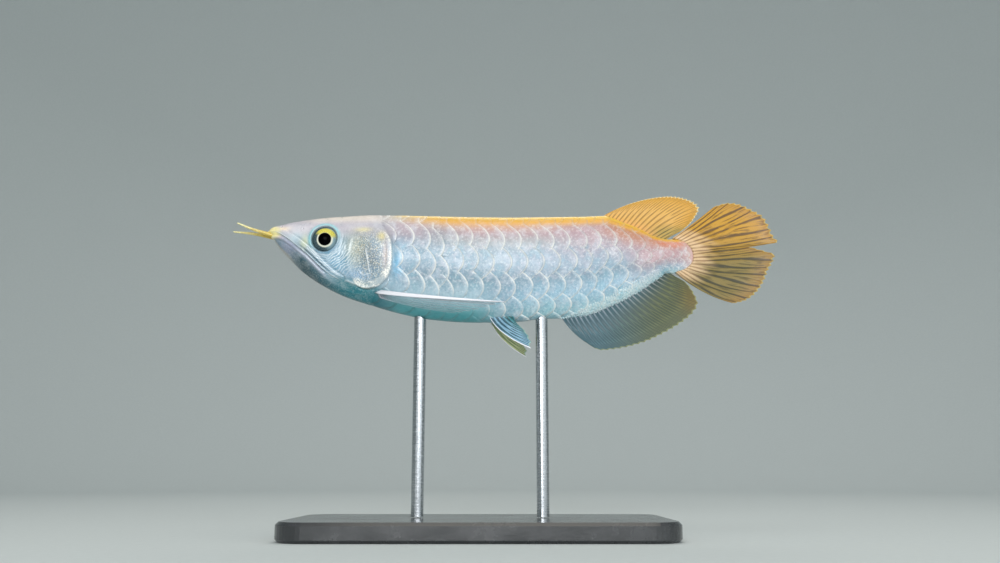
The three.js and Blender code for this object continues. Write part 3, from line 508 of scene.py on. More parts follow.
def head_relief(along, up):
    """Height of the head's forms over the plain body, in millimetres, how much painted shade darkens its
    creases, and how much painted highlight brightens its ridges and folds."""
    # The second array is painted shade for grooves, pits, the eye's socket and the slot behind the gill
    # cover, the third a painted highlight on the ridges and folds.
    height, crease_shade, ridge_highlight = np.zeros((3, *along.shape))

    # The mouth is a narrow groove under the edge of the upper jaw, faint in front and deepest near its
    # corner, darkened with painted shade.
    mouth, _ = from_line(MOUTH, along, up)
    opening = smoothstep(14.4, 13.2, along)
    deep = smoothstep(6, 11, along)
    height -= (0.3 + 0.5 * deep) * bell(mouth + 0.05, 0.22) * opening
    crease_shade += (0.15 + 0.45 * deep) * bell(mouth + 0.06, 0.16) * opening

    # The upper jaw is a long bone, widest past its middle, with fine ridges along it that get a painted
    # highlight, and a groove over it that gets painted shade.
    jaw, jaw_share = from_line(UPPER_JAW, along, up)
    breadth = 0.4 + 0.8 * np.sin(math.pi * np.clip(0.04 + 0.86 * jaw_share, 0, 1))
    on_jaw = smoothstep(breadth + 0.22, breadth - 0.25, abs(jaw)) * smoothstep(1.0, 0.97, jaw_share)
    height += (0.16 + 0.34 * np.sin(math.pi * np.clip(jaw_share + 0.04, 0, 1)) ** 0.7) * on_jaw
    height -= 0.22 * bell(jaw - breadth - 0.3, 0.26) * smoothstep(0.12, 0.3, jaw_share)
    crease_shade += 0.4 * bell(jaw - breadth - 0.3, 0.2) * smoothstep(0.2, 0.4, jaw_share)
    for level, first in ((0.85, 0.3), (0.35, 0.45), (-0.85, 0.02)):
        ridge = bell(jaw - level * breadth, 0.15) * smoothstep(first, first + 0.15, jaw_share)
        ridge *= smoothstep(1.0, 0.93, jaw_share)
        height += 0.12 * ridge
        ridge_highlight += 0.75 * ridge
    along_jaw = smoothstep(0.38, 0.52, jaw_share)
    groove = bell(jaw + 0.3 * breadth, 0.24) * along_jaw * smoothstep(0.9, 0.74, jaw_share)
    crease_shade += 1.1 * groove
    ridge_highlight -= groove
    height -= 0.2 * groove

    # The lower jaw is a pale bar under the mouth, with a soft edge below it.
    height += 0.3 * bell(mouth + 0.75, 0.42) * smoothstep(14.2, 11.5, along)
    lip, lip_share = from_line(LOWER_LIP, along, up)
    height -= 0.12 * bell(lip + 0.75, 0.3) * smoothstep(1.0, 0.8, lip_share)

    # The eye sits in a socket with a fleshy rim, and fine folds run under it. The socket's edge gets painted
    # shade, and the folds a painted highlight.
    ahead, over = along - EYE["centre"][0], up - EYE["centre"][1]
    radius = from_spot(EYE["centre"], along, up)
    height = np.where(radius < 4.6, height * smoothstep(3.9, 4.6, radius), height)
    height += 0.34 * bell(radius - 4.75, 0.42) - 2.3 * smoothstep(4.4, 3.9, radius)
    below = smoothstep(-0.1, -0.75, over / np.maximum(np.hypot(ahead, over), 0.1))
    for ring, tall in FOLDS:
        fold = bell(radius - ring - 0.14 * ahead - 0.1 * np.sin(2.1 * ahead + ring), 0.17) * below
        height += tall * fold
        ridge_highlight += 5.5 * tall * fold
    crease_shade += 0.45 * bell(radius - 4.3, 0.17)

    # The gill cover is a plate that rises to the rear, with a soft edge and a slot behind it, darkened with
    # painted shade.
    into = inside_outline(GILL_COVER, along, up)
    rear = cover_rear(along, up, (21.5, 25), 0.55, (8.0, 5.4))
    height += smoothstep(0, 0.35, into) * 0.34 * rear
    height -= 0.3 * bell(into + 0.35, 0.28) * rear
    height -= 0.1 * bell(into - 1.7 - 0.5 * rear, 0.25) * rear
    crease_shade += (0.08 + 0.22 * smoothstep(-5, -2, up)) * bell(into + 0.3, 0.2) * rear

    # Bones of the cheek and the gill cover, some with a painted highlight, and the grooves between them
    for line, tall, width, pale in CHEEK_LINES:
        ridge = line_ridge(line, along, up, width, 0.15)
        height += tall * ridge
        ridge_highlight += pale * ridge

    # Rays of the membrane under the gill cover
    for drop in (0.9, 1.9, 2.9, 3.8):
        ray = [[17.2 + 0.3 * drop, -5.0 - drop], [20.4, -6.2 - drop], [24.4 - 0.3 * drop, -6.9 - drop]]
        height += 0.12 * line_ridge(ray, along, up, 0.32, 0.2)

    # Nostrils: a short raised collar with a pit in it, darkened with painted shade
    for spot in NOSTRILS:
        apart = from_spot(spot, along, up)
        height += 0.12 * bell(apart - 0.5, 0.22) - 0.3 * bell(apart, 0.28)
        crease_shade += 0.3 * bell(apart, 0.24)

    # Pores of the sense canals, in a loop under the eye and down the cheek, each a pit darkened with painted
    # shade
    for spot in curve_at(PORES, np.linspace(0, 1, 13)):
        apart = from_spot(spot, along, up)
        height -= 0.12 * bell(apart, 0.2)
        crease_shade += 0.2 * bell(apart, 0.18)
    return height, np.clip(crease_shade, 0, 1), np.clip(ridge_highlight, 0, 1)


# The skin

def head_looks(along, up):
    """Where the finish of the head changes: on the cheek, on the gill cover and on its pale rim, which is
    wider low down, and by the distance from the eye."""
    from_eye = from_spot(EYE["centre"], along, up)
    into = inside_outline(GILL_COVER, along, up)
    rear = cover_rear(along, up, (22, 25.5), 0.5, (7.4, 5.6))
    rear = np.maximum(rear, 0.8 * smoothstep(-3.4, -4.8, up))
    wide = 1.1 + 1.8 * smoothstep(3, -4, up)
    return {
        "cheek": patch(along, up, (17.4, 0.6), (3.6, 3.4)) * smoothstep(0.1, 0.8, from_eye - 4.8),
        "cover": smoothstep(-1.5, 4.5, into),
        "rim": smoothstep(0.05, 0.3, into) * smoothstep(wide, wide - 1.0, into) * rear,
        "from_eye": from_eye,
    }


def skin_piece(material):
    """One closed skin from the snout to the root of the tail: rings of even girth, close together on the
    head, pushed out by the head's relief and sunk by the coat's depth under the scales. Towards both ends
    the rings shrink by a sine and move out by a cosine, which rounds the ends off. The bake's map is the
    skin unrolled: the girth goes across it and the rings go up it."""
    columns = SKIN["columns"]
    nose = np.sin(np.linspace(0, math.pi / 2, 7)[1:])
    head = np.linspace(0, 1, SKIN["head_rings"]) ** SKIN["crowding"] * FINE_END
    body = np.linspace(FINE_END, BODY_END, SKIN["body_rings"])[1:]
    heel = np.sin(np.linspace(math.pi / 2, 0, 5)[1:-1])
    whole = np.ones(len(head) - 1 + len(body))
    stations = np.r_[0 * nose, head[1:], body, 0 * heel + BODY_END]
    shrink = np.r_[nose, whole, heel]
    push = np.r_[-0.3 * np.sqrt(1 - nose**2), 0 * whole, 0.9 * np.sqrt(1 - heel**2)]
    along, girth = np.meshgrid(stations, np.arange(columns) / columns, indexing="ij")
    _, _, up = skin_place(along, girth)
    _, _, _, level = section(along)

    on_head = stations <= FINE_END
    relief, crease_shade, ridge_highlight = np.zeros((3, *along.shape))
    relief[on_head], crease_shade[on_head], ridge_highlight[on_head] = head_relief(along[on_head], up[on_head])
    behind = smoothstep(0.1, 0.9, from_line(HEAD_EDGE, along, up)[0])
    relief = relief * smoothstep(FINE_END, FINE_END - 0.6, along) - COAT_DEPTH * behind
    points = skin_point(along, girth) + skin_normal(along, girth) * relief[..., None] * MM
    middle = place(along, 0, level)
    points = middle + (points - middle) * shrink[:, None, None]
    points[..., 0] += push[:, None] * UNIT
    ends = np.stack([points[0].mean(0) - [0.05 * MM, 0, 0], points[-1].mean(0) + [0.15 * MM, 0, 0]])
    rows = len(stations)
    piece = mesh_piece("skin", np.vstack([points.reshape(-1, 3), ends]), closed_rings(rows, columns))

    between = (grid_quads(rows, columns, wrap=True)[..., ::-1] + [0, 1]) / [columns, rows + 1]
    fan = (np.arange(columns)[:, None] + [0.5, 1, 0]) / columns
    rise = np.broadcast_to(np.array([0, 1, 1]) / (rows + 1), fan.shape)
    front = np.stack([fan, rise], -1)
    rear = np.stack([fan[:, [0, 2, 1]], 1 - rise], -1)
    give_map(piece, "OFBake", np.vstack([part.reshape(-1, 2) for part in (between, front, rear)]))

    # The creases carry painted shade and the ridges and folds a painted highlight, which the skin's finish
    # lays over its colours.
    looks = {"crease_shade": crease_shade, "ridge_highlight": ridge_highlight, **head_looks(along, up)}
    for name, values in looks.items():
        give_number(piece, name, np.pad(values.ravel(), (0, 2), mode="edge"))
    tone = whole_tone(along, up).reshape(-1, 3)
    give_colour(piece, "tone", np.vstack([tone, tone[:1], tone[-1:]]))
    nodes = ["head", "lower_jaw", "gill_cover_left", "gill_cover_right", "trunk", "tail_stalk"]
    return finish_piece(piece, "skin", material, *nodes)


# The scales

def scale_plates(edge, girth, breadth, pitch, step, lean, shape, across, rows):
    """Many closed plates at once. On each, v is the place across it in breadths and d the distance in
    pitches in front of its free edge, an arc that bows to the rear by the square of v. The top rises from
    the skin at the root to its step at the free edge, by a power of the way, and stays lower towards the
    sides. A short wall behind the edge slants down, and the underside runs from it to a row of points
    sunk in the skin, and on to the root. Each side is a fan round the outer sunk point. Returns the
    points, the faces, and v, the distance in front of the edge, the place along the fish and the girth of
    each point."""
    v = np.linspace(-HALF_SCALE, HALF_SCALE, across + 1)[None, None, :]
    d = shape["length"] * (1 - np.linspace(0, 1, rows) ** SCALE_CROWDING)[None, :, None]
    sizes = np.broadcast_arrays(edge, girth, breadth, pitch, step, lean)
    edge, girth, breadth, pitch, step, lean = (size[:, None, None] for size in sizes)
    along = edge - pitch * (shape["bow"] * np.minimum(np.abs(v - lean), 0.7) ** 2 + d)
    round_it = np.broadcast_to(girth + breadth * v, along.shape)
    tuck = 1 - 0.5 * smoothstep(0.45, 0.72, np.abs(v)) - 0.4 * smoothstep(0.72, HALF_SCALE, np.abs(v))
    height = step * (1 - d / shape["length"]) ** SCALE_RISE * tuck
    _, _, up = skin_place(along, round_it)
    behind = from_line(HEAD_EDGE, along, up)[0]
    in_head = along < HEAD_END
    under_skin = COAT_DEPTH * np.where(in_head, smoothstep(0.1, 0.9, behind), 1)
    under_skin = under_skin + 1.4 * np.where(in_head, smoothstep(1.0, -0.8, behind), 0)
    normal = skin_normal(along, round_it)
    top = skin_point(along, round_it) + normal * (height - under_skin)[..., None] * MM
    wall = top[:, -1, 1:-1] - normal[:, -1, 1:-1] * (0.5 * step * MM)
    wall[..., 0] += 0.45 * step[..., 0] * MM
    sink = height[:, DIP_ROW, 1:-1] + 0.35 + 0.6 * smoothstep(86, 92, along[:, DIP_ROW, 1:-1])
    dip = top[:, DIP_ROW, 1:-1] - normal[:, DIP_ROW, 1:-1] * sink[..., None] * MM
    count, columns = len(along), across + 1
    points = np.concatenate([top.reshape(count, -1, 3), wall, dip], 1)

    number = np.arange(rows * columns).reshape(rows, columns)
    under = np.r_[number[-1, 0], rows * columns + np.arange(columns - 2), number[-1, -1]]
    sunk = under + columns - 2
    quads = grid_quads(rows, columns)
    tops = number[quads[..., 0], quads[..., 1]]
    c = np.arange(1, columns - 2)
    walls = np.c_[number[-1, c], number[-1, c + 1], under[c + 1], under[c]]
    corners = np.array([[number[-1, 0], number[-1, 1], under[1]],
                        [number[-1, -2], number[-1, -1], under[-2]]])
    soles = np.vstack([np.c_[under[c], under[c + 1], sunk[c + 1], sunk[c]],
                       np.c_[sunk[c], sunk[c + 1], number[0, c + 1], number[0, c]]])
    flanks = [(sunk[1], np.r_[number[0, 1], number[:, 0], under[1]]),
              (sunk[-2], np.r_[under[-2], number[::-1, -1], number[0, -2]])]
    fans = [np.c_[np.full(len(line) - 1, middle), line[:-1], line[1:]] for middle, line in flanks]
    start = (np.arange(count) * points.shape[1])[:, None, None]
    faces = [(part + start).reshape(-1, part.shape[1]) for part in (tops, walls, corners, soles, *fans)]
    per_point = []
    for values in (v, d * pitch, along, round_it):
        values = np.broadcast_to(values, along.shape)
        parts = [values.reshape(count, -1), values[:, -1, 1:-1], values[:, DIP_ROW, 1:-1]]
        per_point.append(np.concatenate(parts, 1).ravel())
    return points.reshape(-1, 3), faces, per_point


def sheen(along, up):
    """How silvery the scales are, in full on the flanks and hardly on the gold back, the smooth front of the
    belly and the edge of the head; how blue, which also leaves out the rosy back; and how bright their rims
    are, partly as a painted highlight, which fades towards the tail."""
    height = height_share(along, up)
    gold = smoothstep(0.84, 0.92, height) * smoothstep(27, 44, along)
    gold = np.maximum(gold, 0.55 * smoothstep(0.6, 0.85, height) * smoothstep(78, 88, along))
    smooth = smoothstep(0.3, 0.16, height) * smoothstep(58, 48, along)
    rosy = smoothstep(0.62, 0.78, height)
    rosy = np.maximum(rosy, smoothstep(0.2, 0.5, height) * smoothstep(78, 88, along))
    behind = np.where(along < HEAD_END, smoothstep(-0.3, 3.6, from_line(HEAD_EDGE, along, up)[0]), 1)
    silver = (1 - 0.85 * gold) * (1 - 0.92 * smooth) * (0.15 + 0.85 * behind)
    return silver, silver * (1 - 0.9 * rosy), silver * (1 - 0.45 * smoothstep(84, 93, along))


def scale_piece(name, material, plates, count, silver=1.0):
    """Scales joined into one piece. The bake's map gives each a patch about 0.003 across at its root's
    place on the unrolled skin, girth one way and distance the other. The other map holds the place across
    a scale and the distance in millimetres in front of its edge."""
    points, faces, (across_it, ahead, along, girth) = plates
    piece = mesh_piece(name, points, faces)
    tops = len(faces[0])
    set_flat(piece, tops, tops + len(faces[1]) + len(faces[2]))
    per_plate = len(points) // count
    root_along = np.repeat(along.reshape(count, -1).min(1), per_plate)
    root_girth = np.repeat(girth.reshape(count, -1).mean(1), per_plate)
    patches = np.c_[0.01 + 0.98 * root_girth + 0.0015 * across_it / HALF_SCALE,
                    0.01 + 0.0085 * root_along + 0.003 * (1 - ahead / ahead.max())]
    corner = np.concatenate([part.ravel() for part in faces])
    give_map(piece, "OFBake", patches[corner])
    give_map(piece, "scale", np.c_[across_it, ahead * UNIT_MM][corner])
    _, _, up = skin_place(along, girth)
    give_colour(piece, "tone", whole_tone(along, up))
    for label, values in zip(("silver", "cool", "brim"), sheen(along, up)):
        give_number(piece, label, silver * values)
    give_number(piece, "shade", np.repeat(np.random.default_rng(7).normal(0, 1, count), per_plate))
    return finish_piece(piece, "scales", material)


def big_scales(name, material, side):
    """The large scales of one side, in rows that each lie about a third of a ring behind the one over
    them. A few behind the shoulder sit half a row low. The row along the belly goes with the left
    side."""
    rows = ROWS if side < 0 else ROWS[:-1]
    number, column = np.meshgrid(np.arange(len(rows)), np.arange(-3, 23), indexing="ij")
    row, middle, breadth, back, lean = np.array(rows)[number.ravel()].T
    ring = column.ravel() + back
    kept = (ring > -0.6) & (ring < 21.5)
    row, middle, breadth, lean, ring = (values[kept] for values in (row, middle, breadth, lean, ring))
    draw = np.random.default_rng(11).uniform(-1, 1, (2, len(ring)))
    edge = through(RINGS, 1, ring)
    pitch = through(RINGS, 1, ring + 0.5) - through(RINGS, 1, ring - 0.5)
    low = 0.046 * bell(edge - 42.4, 2.4) * bell(row - 2, 1.6)
    low = low - 0.02 * bell(edge - 48, 3.2) * bell(row - 1.5, 1)
    girth = middle + low + 0.002 * draw[0]
    edge = edge + 0.06 * pitch * draw[1]
    step = SCALE_STEP * (1 - 0.5 * smoothstep(84, 97, edge))
    step = step * (1 - 0.85 * smoothstep(54, 46, edge) * smoothstep(3.5, 4.5, row))
    step = step * np.where(row == 0, 0.35, 1)
    girth = girth if side < 0 else 1 - girth
    plates = scale_plates(edge, girth, breadth, pitch, step, -side * lean, LARGE_SCALE, across=14, rows=7)
    return scale_piece(name, material, plates, len(edge))


def sheath_scales(name, material, side):
    """The small scales over the root of the anal fin, in rows along the edge of the belly. They lie on
    the large ones."""
    pitch = 0.52
    row, column = np.meshgrid(np.arange(6), np.arange(48), indexing="ij")
    row, column = row.ravel(), column.ravel()
    draw = np.random.default_rng(3).uniform(-1, 1, (2, len(row)))
    edge = 69.2 + 1.1 * row + pitch * (column + 0.5 * (row % 2)) + 0.14 * draw[0]
    kept = edge < 93
    row, edge, draw = row[kept], edge[kept], draw[:, kept]
    narrow = 0.0098 * (1 + 1.0 * smoothstep(76, 94, edge))
    girth = 0.5 + side * narrow * (row + 0.3 + 0.2 * draw[1])
    step = 0.56 - 0.05 * row
    plates = scale_plates(edge, girth, 0.95 * narrow, pitch, step, 0, SMALL_SCALE, across=6, rows=4)
    return scale_piece(name, material, plates, len(edge), silver=0.6)


# The fins

def ray_ridges(q, t, splits, forks, width):
    """How high a place stands on a ray, from 0 on the membrane to 1. Rays run at whole numbers of q, and
    t goes out along them. Past each split every branch parts evenly in two, by the fork's share of the
    gap, and grows thinner to match."""
    off = q - np.round(q)
    first = smoothstep(splits[0], splits[0] + 0.3, t)
    second = smoothstep(splits[1], splits[1] + 0.25, t)
    wide = width * (1 - 0.45 * first - 0.25 * second)
    ridge = np.zeros(np.broadcast(q, t).shape)
    for one in (-1, 1):
        for two in (-1, 1):
            ridge = np.maximum(ridge, bell(off - one * forks[0] * first - two * forks[1] * second, wide))
    return ridge


def fin_piece(name, path, rays, material, slot, node, tones, fine=16, membrane=0.16, ray_height=0.15,
              root=1.6, splits=(0.36, 0.66), forks=(0.25, 0.125), width=0.3, scallop=0.03, leading=0.0,
              lead_width=0.34, teeth=1, wander=0.0, normal=None):
    """A fin as one closed surface: both faces of a grid of q across the rays and t along them. The half
    thickness is that of the membrane, more on the rays, at the root and on the leading edge. The rays
    wander by a sine of q and t. The margin comes to points, evenly spaced, which sit at the tips of the
    rays, or of their branches where teeth counts them. Each point keeps its height on the ray, its
    distances from the root and the margin, the number of its ray, and how far it belongs to the pale
    leading rays."""
    rings = 44
    columns = (rays - 1) * fine + 1
    q = np.linspace(0, rays - 1, columns)[None, :]
    t = (np.linspace(0, 1, rings) ** 0.9)[:, None]
    strayed = q + wander * np.sin(2.3 * q + 5 * t) * smoothstep(0, 0.3, t) * smoothstep(0, 1, q)
    ridge = ray_ridges(strayed, t, splits, forks, width)
    tooth = teeth * q - (0.5 if teeth > 1 else 0)
    out = t * (1 - scallop * (2 * abs(tooth - np.round(tooth))) ** 0.75)
    u = np.broadcast_to(q / (rays - 1), ridge.shape)
    middle = path(u, out)
    if normal is None:
        across = path(np.minimum(u + 0.01, 1), out) - path(np.maximum(u - 0.01, 0), out)
        normal = np.cross(across, path(u, out + 0.01) - middle)
        normal = normal / np.linalg.norm(normal, axis=-1, keepdims=True)
    thin_edge = smoothstep(0, 0.12, np.minimum(q, rays - 1 - q))
    lead = np.broadcast_to(bell(q, lead_width), ridge.shape)
    half = membrane / 2 + ray_height * ridge * (1 - 0.62 * t) + root / 2 * bell(t, 0.2)
    half = half * (0.35 + 0.65 * thin_edge) * (1 - 0.6 * smoothstep(0.94, 1, t))
    half = half + leading * (1 - 0.85 * t**1.6) * lead * (0.3 + 0.7 * thin_edge)
    right, left = (middle + side * normal * half[..., None] * MM for side in (1, -1))
    points = np.concatenate([right, left[:, ::-1]], 1).reshape(-1, 3)

    around = 2 * columns
    c = np.arange(columns - 1)
    root_strip = np.c_[c, around - 1 - c, around - 2 - c, c + 1]
    tip_strip = (rings - 1) * around + np.c_[c, c + 1, around - 2 - c, around - 1 - c]
    faces = [ring_faces(rings, around), root_strip, tip_strip]
    first = points[faces[0][0]]
    facing = np.cross(first[1] - first[0], first[2] - first[1]) @ np.broadcast_to(normal, middle.shape)[0, 0]
    piece = mesh_piece(name, points, turned_over(faces) if facing < 0 else faces)

    length = np.linalg.norm(np.diff(middle, axis=0, prepend=middle[:1]), axis=-1).cumsum(0) / MM
    pale = np.maximum(lead, min(leading, 0.5) * ridge * smoothstep(2.6, 1.4, q))
    sheets = {"ray": ridge, "from_margin": length[-1:] - length, "from_root": length, "lead": pale,
              "count": np.broadcast_to(strayed, ridge.shape)}
    for label, values in sheets.items():
        give_number(piece, label, np.concatenate([values, values[:, ::-1]], 1))
    both = np.concatenate([middle, middle[:, ::-1]], 1).reshape(-1, 3)
    along, up = (both[:, 0] - SNOUT_X) / UNIT, (both[:, 2] - AXIS_HEIGHT) / UNIT
    for label, tone in zip(("ray_tone", "web_tone"), tones(along, up, np.repeat(t.ravel(), around))):
        give_colour(piece, label, tone)
    return finish_piece(piece, slot, material, node)


def bent(root, control, tip, t):
    """Point at share t of a curve from a root to a tip, drawn towards a control point: its quadratic
    Bezier."""
    return root * (1 - t) ** 2 + control * (2 * t * (1 - t)) + tip * t**2


def swaying_path(sizes, tips=None):
    """Middle surface of an upright fin. Each ray bends from its root to its tip by way of a control
    point, whose shares of the way along and up the fish go from the first pair of lean to the second. The
    fin waves sideways by the square of the distance out times a sine along it."""
    wave, phase = 0.11, 0.6
    roots, tips = side_curve(sizes["root"]), tips or side_curve(sizes["margin"])
    first, last = np.array(sizes["lean"])

    def path(u, t):
        root, tip = roots(u), tips(u)
        pull = first * (1 - u[..., None]) + last * u[..., None]
        control = root + pull[..., [0, 0, 1]] * (tip - root)
        point = bent(root, control, tip, t[..., None])
        out = np.linalg.norm(point - root, axis=-1) / MM
        sideways = np.sin(wave * (point[..., 0] - root[..., 0]) / MM + phase) * MM
        point[..., 1] += sizes["sway"] * out**2 * sideways
        return point
    return path


def side_curve(places):
    """Function from a share to the point in space on a smooth line through side-view places."""
    knots = np.array([place(along, 0, up) for along, up in places])
    return lambda u: curve_at(knots, u)


ACROSS = np.array([0.0, 1.0, 0.0])

# Upright fins: the root line and the margin, the two pairs of lean, and how much the fin sways. The
# tail's margin is in two lobes, with a notch between them.
DORSAL = {
    "root": [[78.6, 11.2], [82.8, 9], [87, 7.2], [92.6, 4.9]],
    "margin": [[80.6, 12.7], [82.8, 13.8], [86.2, 15.2], [90, 16.3], [93.4, 16.9], [96.4, 17.0],
               [99.5, 16.4], [101.8, 15.2], [102.5, 13.9], [101.6, 12], [100.2, 10.2], [97.8, 8.2]],
    "lean": [[0.42, 0.62], [0.42, 0.62]],
    "sway": 0.0022,
}
ANAL = {
    "root": [[68.4, -11.6], [74, -10.9], [80, -8.6], [86, -5.2], [93.8, -0.9]],
    "margin": [[74.4, -18.2], [77.6, -20.1], [81.3, -20], [84.2, -19.5], [88.7, -18.2], [93.6, -15.9],
               [97.4, -13.6], [100.1, -11.3], [101.2, -9.3], [100.8, -7.6], [98.7, -4.4], [97, -3.3]],
    "lean": [[0.4, 0.62], [0.4, 0.62]],
    "sway": 0.0022,
}
TAIL = {
    "root": [[95.6, 6.4], [98.0, 5.4], [99.7, 4.0], [100.3, 2.2], [99.9, 0.4], [98.4, -1.0], [96.0, -1.9]],
    "upper": [[106, 14.4], [109.2, 15.3], [112, 15.0], [115, 13.5], [117.5, 11.8], [119.0, 8.8],
              [119.6, 7.1], [120.9, 5.4]],
    "lower": [[119.9, 2.6], [119.3, 0.8], [118.1, -1.2], [116.9, -4], [115.5, -6.1], [113.8, -7.7],
              [112.2, -8.6], [109.6, -9.2]],
    "notch": [114.2, 4.4],
    "rays": 18,
    "lobe_rays": 8,
    "lean": [[0.5, 0.45], [0.45, 0.75]],
    "sway": 0.0012,
}

# Paired fins, of the left side: distance from the snout, distance from the middle plane and height of the
# root line, of the line that the rays bend towards and of the margin, and how far the tips of each side
# are moved
PECTORAL = {
    "root": [[26.2, 3.2, -6.9], [27, 2.8, -8.3]],
    "control": [[33.5, 14.8, -10], [34, 6.6, -11.4]],
    "margin": [[55.9, 15.4, -11.5], [54.0, 13.7, -11.9], [49.2, 10.2, -12.6], [44.6, 6.4, -12.6]],
    "shift": {"left": [0, 0, 0], "right": [0, 0, 1.2]},
}
PELVIC = {
    "root": [[51.8, 1.2, -11.9], [57.0, 1.6, -12]],
    "control": [[54.0, 2.7, -17.1], [58.6, 2.4, -13.2]],
    "margin": [[61.8, 4.2, -20.4], [62, 3.9, -19.3], [61.4, 3.3, -17.5], [60, 2.8, -15.6],
               [57.9, 2.2, -13.9]],
    "shift": {"left": [0, 0, 0], "right": [-0.8, 0, -1.1]},
}


def dorsal_tones(along, up, share):
    """Colours of the rays and the web of the dorsal fin. In these functions share is the way out along a
    ray."""
    low = smoothstep(0.35, 0, share)
    rear = smoothstep(88, 94, along) * smoothstep(10.5, 7.8, up)
    outer_ray, outer_web = smoothstep(0.5, 1, share), smoothstep(0.4, 1, share)
    ray = blended("#dfad5c", ("#d29a34", outer_ray), ("#e3a765", low), ("#93894a", 0.6 * rear))
    web = blended("#a67d38", ("#96702b", outer_web), ("#c4924f", low), ("#5d6132", 0.85 * rear))
    return ray, web


def anal_tones(along, up, share):
    rear = smoothstep(76, 94, along)
    gold = patch(along, up, (100.3, -8), (3.2, 4.5)) * smoothstep(0.3, 0.6, share)
    low = smoothstep(0.45, 0.05, share)
    dark = 0.8 * low * smoothstep(87, 93, along)
    ray = blended("#4c6f79", ("#656a46", rear), ("#7d6a24", gold), ("#a9adb8", 0.7 * low))
    web = blended("#2c4f59", ("#3d4933", rear), ("#54481f", gold), ("#3f5f68", low), ("#26331f", dark))
    return ray, web


def tail_tones(along, up, share):
    lower = smoothstep(8.5, -2, up - 1.5 * share)
    low = smoothstep(0.38, 0.03, share + 0.04 * np.sin(2.3 * up + along))
    outer = smoothstep(0.7, 1, share)
    ray = blended("#c79328", ("#84723a", lower), ("#a87626", 0.5 * outer), ("#ebcaa2", 0.85 * low))
    web = blended("#6a4a17", ("#3b3718", lower), ("#603f18", 0.6 * outer), ("#c29a72", 0.75 * low))
    return ray, web


def plain_tones(ray, web, root):
    """Tones of a fin whose colour changes only towards its root."""
    def tones(along, up, share):
        near = smoothstep(0.25, 0, share)
        return blended(ray, (root, near)), blended(web, (root, near))
    return tones


def pelvic_left_tones(along, up, share):
    """Blue in front, and green behind a slanting line from the front of the root, square to the way (8.2,
    9.5)."""
    rear = smoothstep(0.6, 2.6, ((along - 52.3) * 8.2 + (up + 12.2) * 9.5) / 12.55)
    return blended("#86aec4", ("#3b8086", rear)), blended("#2c6074", ("#1f5d63", rear))


def tail_tips(u):
    """Tips of the tail's rays: the upper lobe, one ray on each side of the notch between them, the lower
    lobe."""
    upper, lower = side_curve(TAIL["upper"]), side_curve(TAIL["lower"])
    notch = place(TAIL["notch"][0], 0, TAIL["notch"][1])
    gaps = TAIL["rays"] - 1
    last = (TAIL["lobe_rays"] - 1) / gaps
    torn = np.clip(1 - np.abs(gaps * u - gaps / 2) / 1.5, 0, 1)[..., None]
    tips = upper(np.clip(u / last, 0, 1)), lower(np.clip((u - 1) / last + 1, 0, 1))
    return np.where((u < 0.5)[..., None], *tips) * (1 - torn) + notch * torn


def paired_path(sizes, name):
    """Middle surface of a paired fin: rays bend from the root line to the margin by way of a control
    line."""
    root, control, margin = (
        np.array([place(along, SIDES[name] * across, up) for along, across, up in sizes[part]])
        for part in ("root", "control", "margin")
    )

    def path(u, t):
        share = u[..., None]
        point = bent(root[0] + (root[1] - root[0]) * share, control[0] + (control[1] - control[0]) * share,
                     curve_at(margin, u), t[..., None])
        return point + np.array(sizes["shift"][name]) * UNIT * t[..., None]
    return path


# Eyes and barbels

def eye_piece(name, side, material):
    """A flattened ball: rings of radius sine and depth cosine of an angle from its front, the cosine
    raised to a power under one for a fuller front, with the lens swelling at its middle. The map gives
    each point its place over the pupil, in millimetres."""
    angle = np.linspace(0, math.pi, 50)[1:-1, None]
    turn = np.linspace(0, 2 * math.pi, 64, endpoint=False)[None, :]
    radius = np.sin(angle) * EYE["radius"]
    depth = np.sign(np.cos(angle)) * np.abs(np.cos(angle)) ** 0.92 * EYE["bulge"]
    depth = depth + EYE["lens"] * bell(radius, 1.7) * (angle < math.pi / 2)
    local = np.stack(np.broadcast_arrays(radius * np.cos(turn), depth, radius * np.sin(turn)), -1)
    poles = np.array([[0, EYE["bulge"] + EYE["lens"], 0], [0, -EYE["bulge"], 0]])
    local = np.vstack([local.reshape(-1, 3), poles])
    faces = closed_rings(angle.size, turn.size)
    if side > 0:
        faces = turned_over(faces)
    spin = side * EYE["turn"]
    x, y, z = local[:, 0], side * local[:, 1], local[:, 2]
    along, up = EYE["centre"]
    middle = place(along, side * (side_at(along, up) - EYE["sink"] / UNIT_MM), up)
    turned = np.c_[x * math.cos(spin) - y * math.sin(spin), x * math.sin(spin) + y * math.cos(spin), z]
    piece = mesh_piece(name, middle + turned * MM, faces)
    corner = np.concatenate([part.ravel() for part in faces])
    give_map(piece, "eye", local[corner][:, [0, 2]] - EYE["pupil"])
    return finish_piece(piece, "eye", material, name.replace("ball", "eye"))


BARBELS = {
    "left": [[2.0, 0.6, 6.8], [1.0, 0.6, 7.05], [-0.4, 0.8, 7.4], [-4.0, 1.2, 8.45], [-7.4, 1.7, 9.8]],
    "right": [[2.0, 0.6, 6.6], [1.0, 0.6, 6.85], [-0.4, 0.8, 7.1], [-4.4, 1.3, 7.9], [-9.2, 1.7, 8.5]],
}


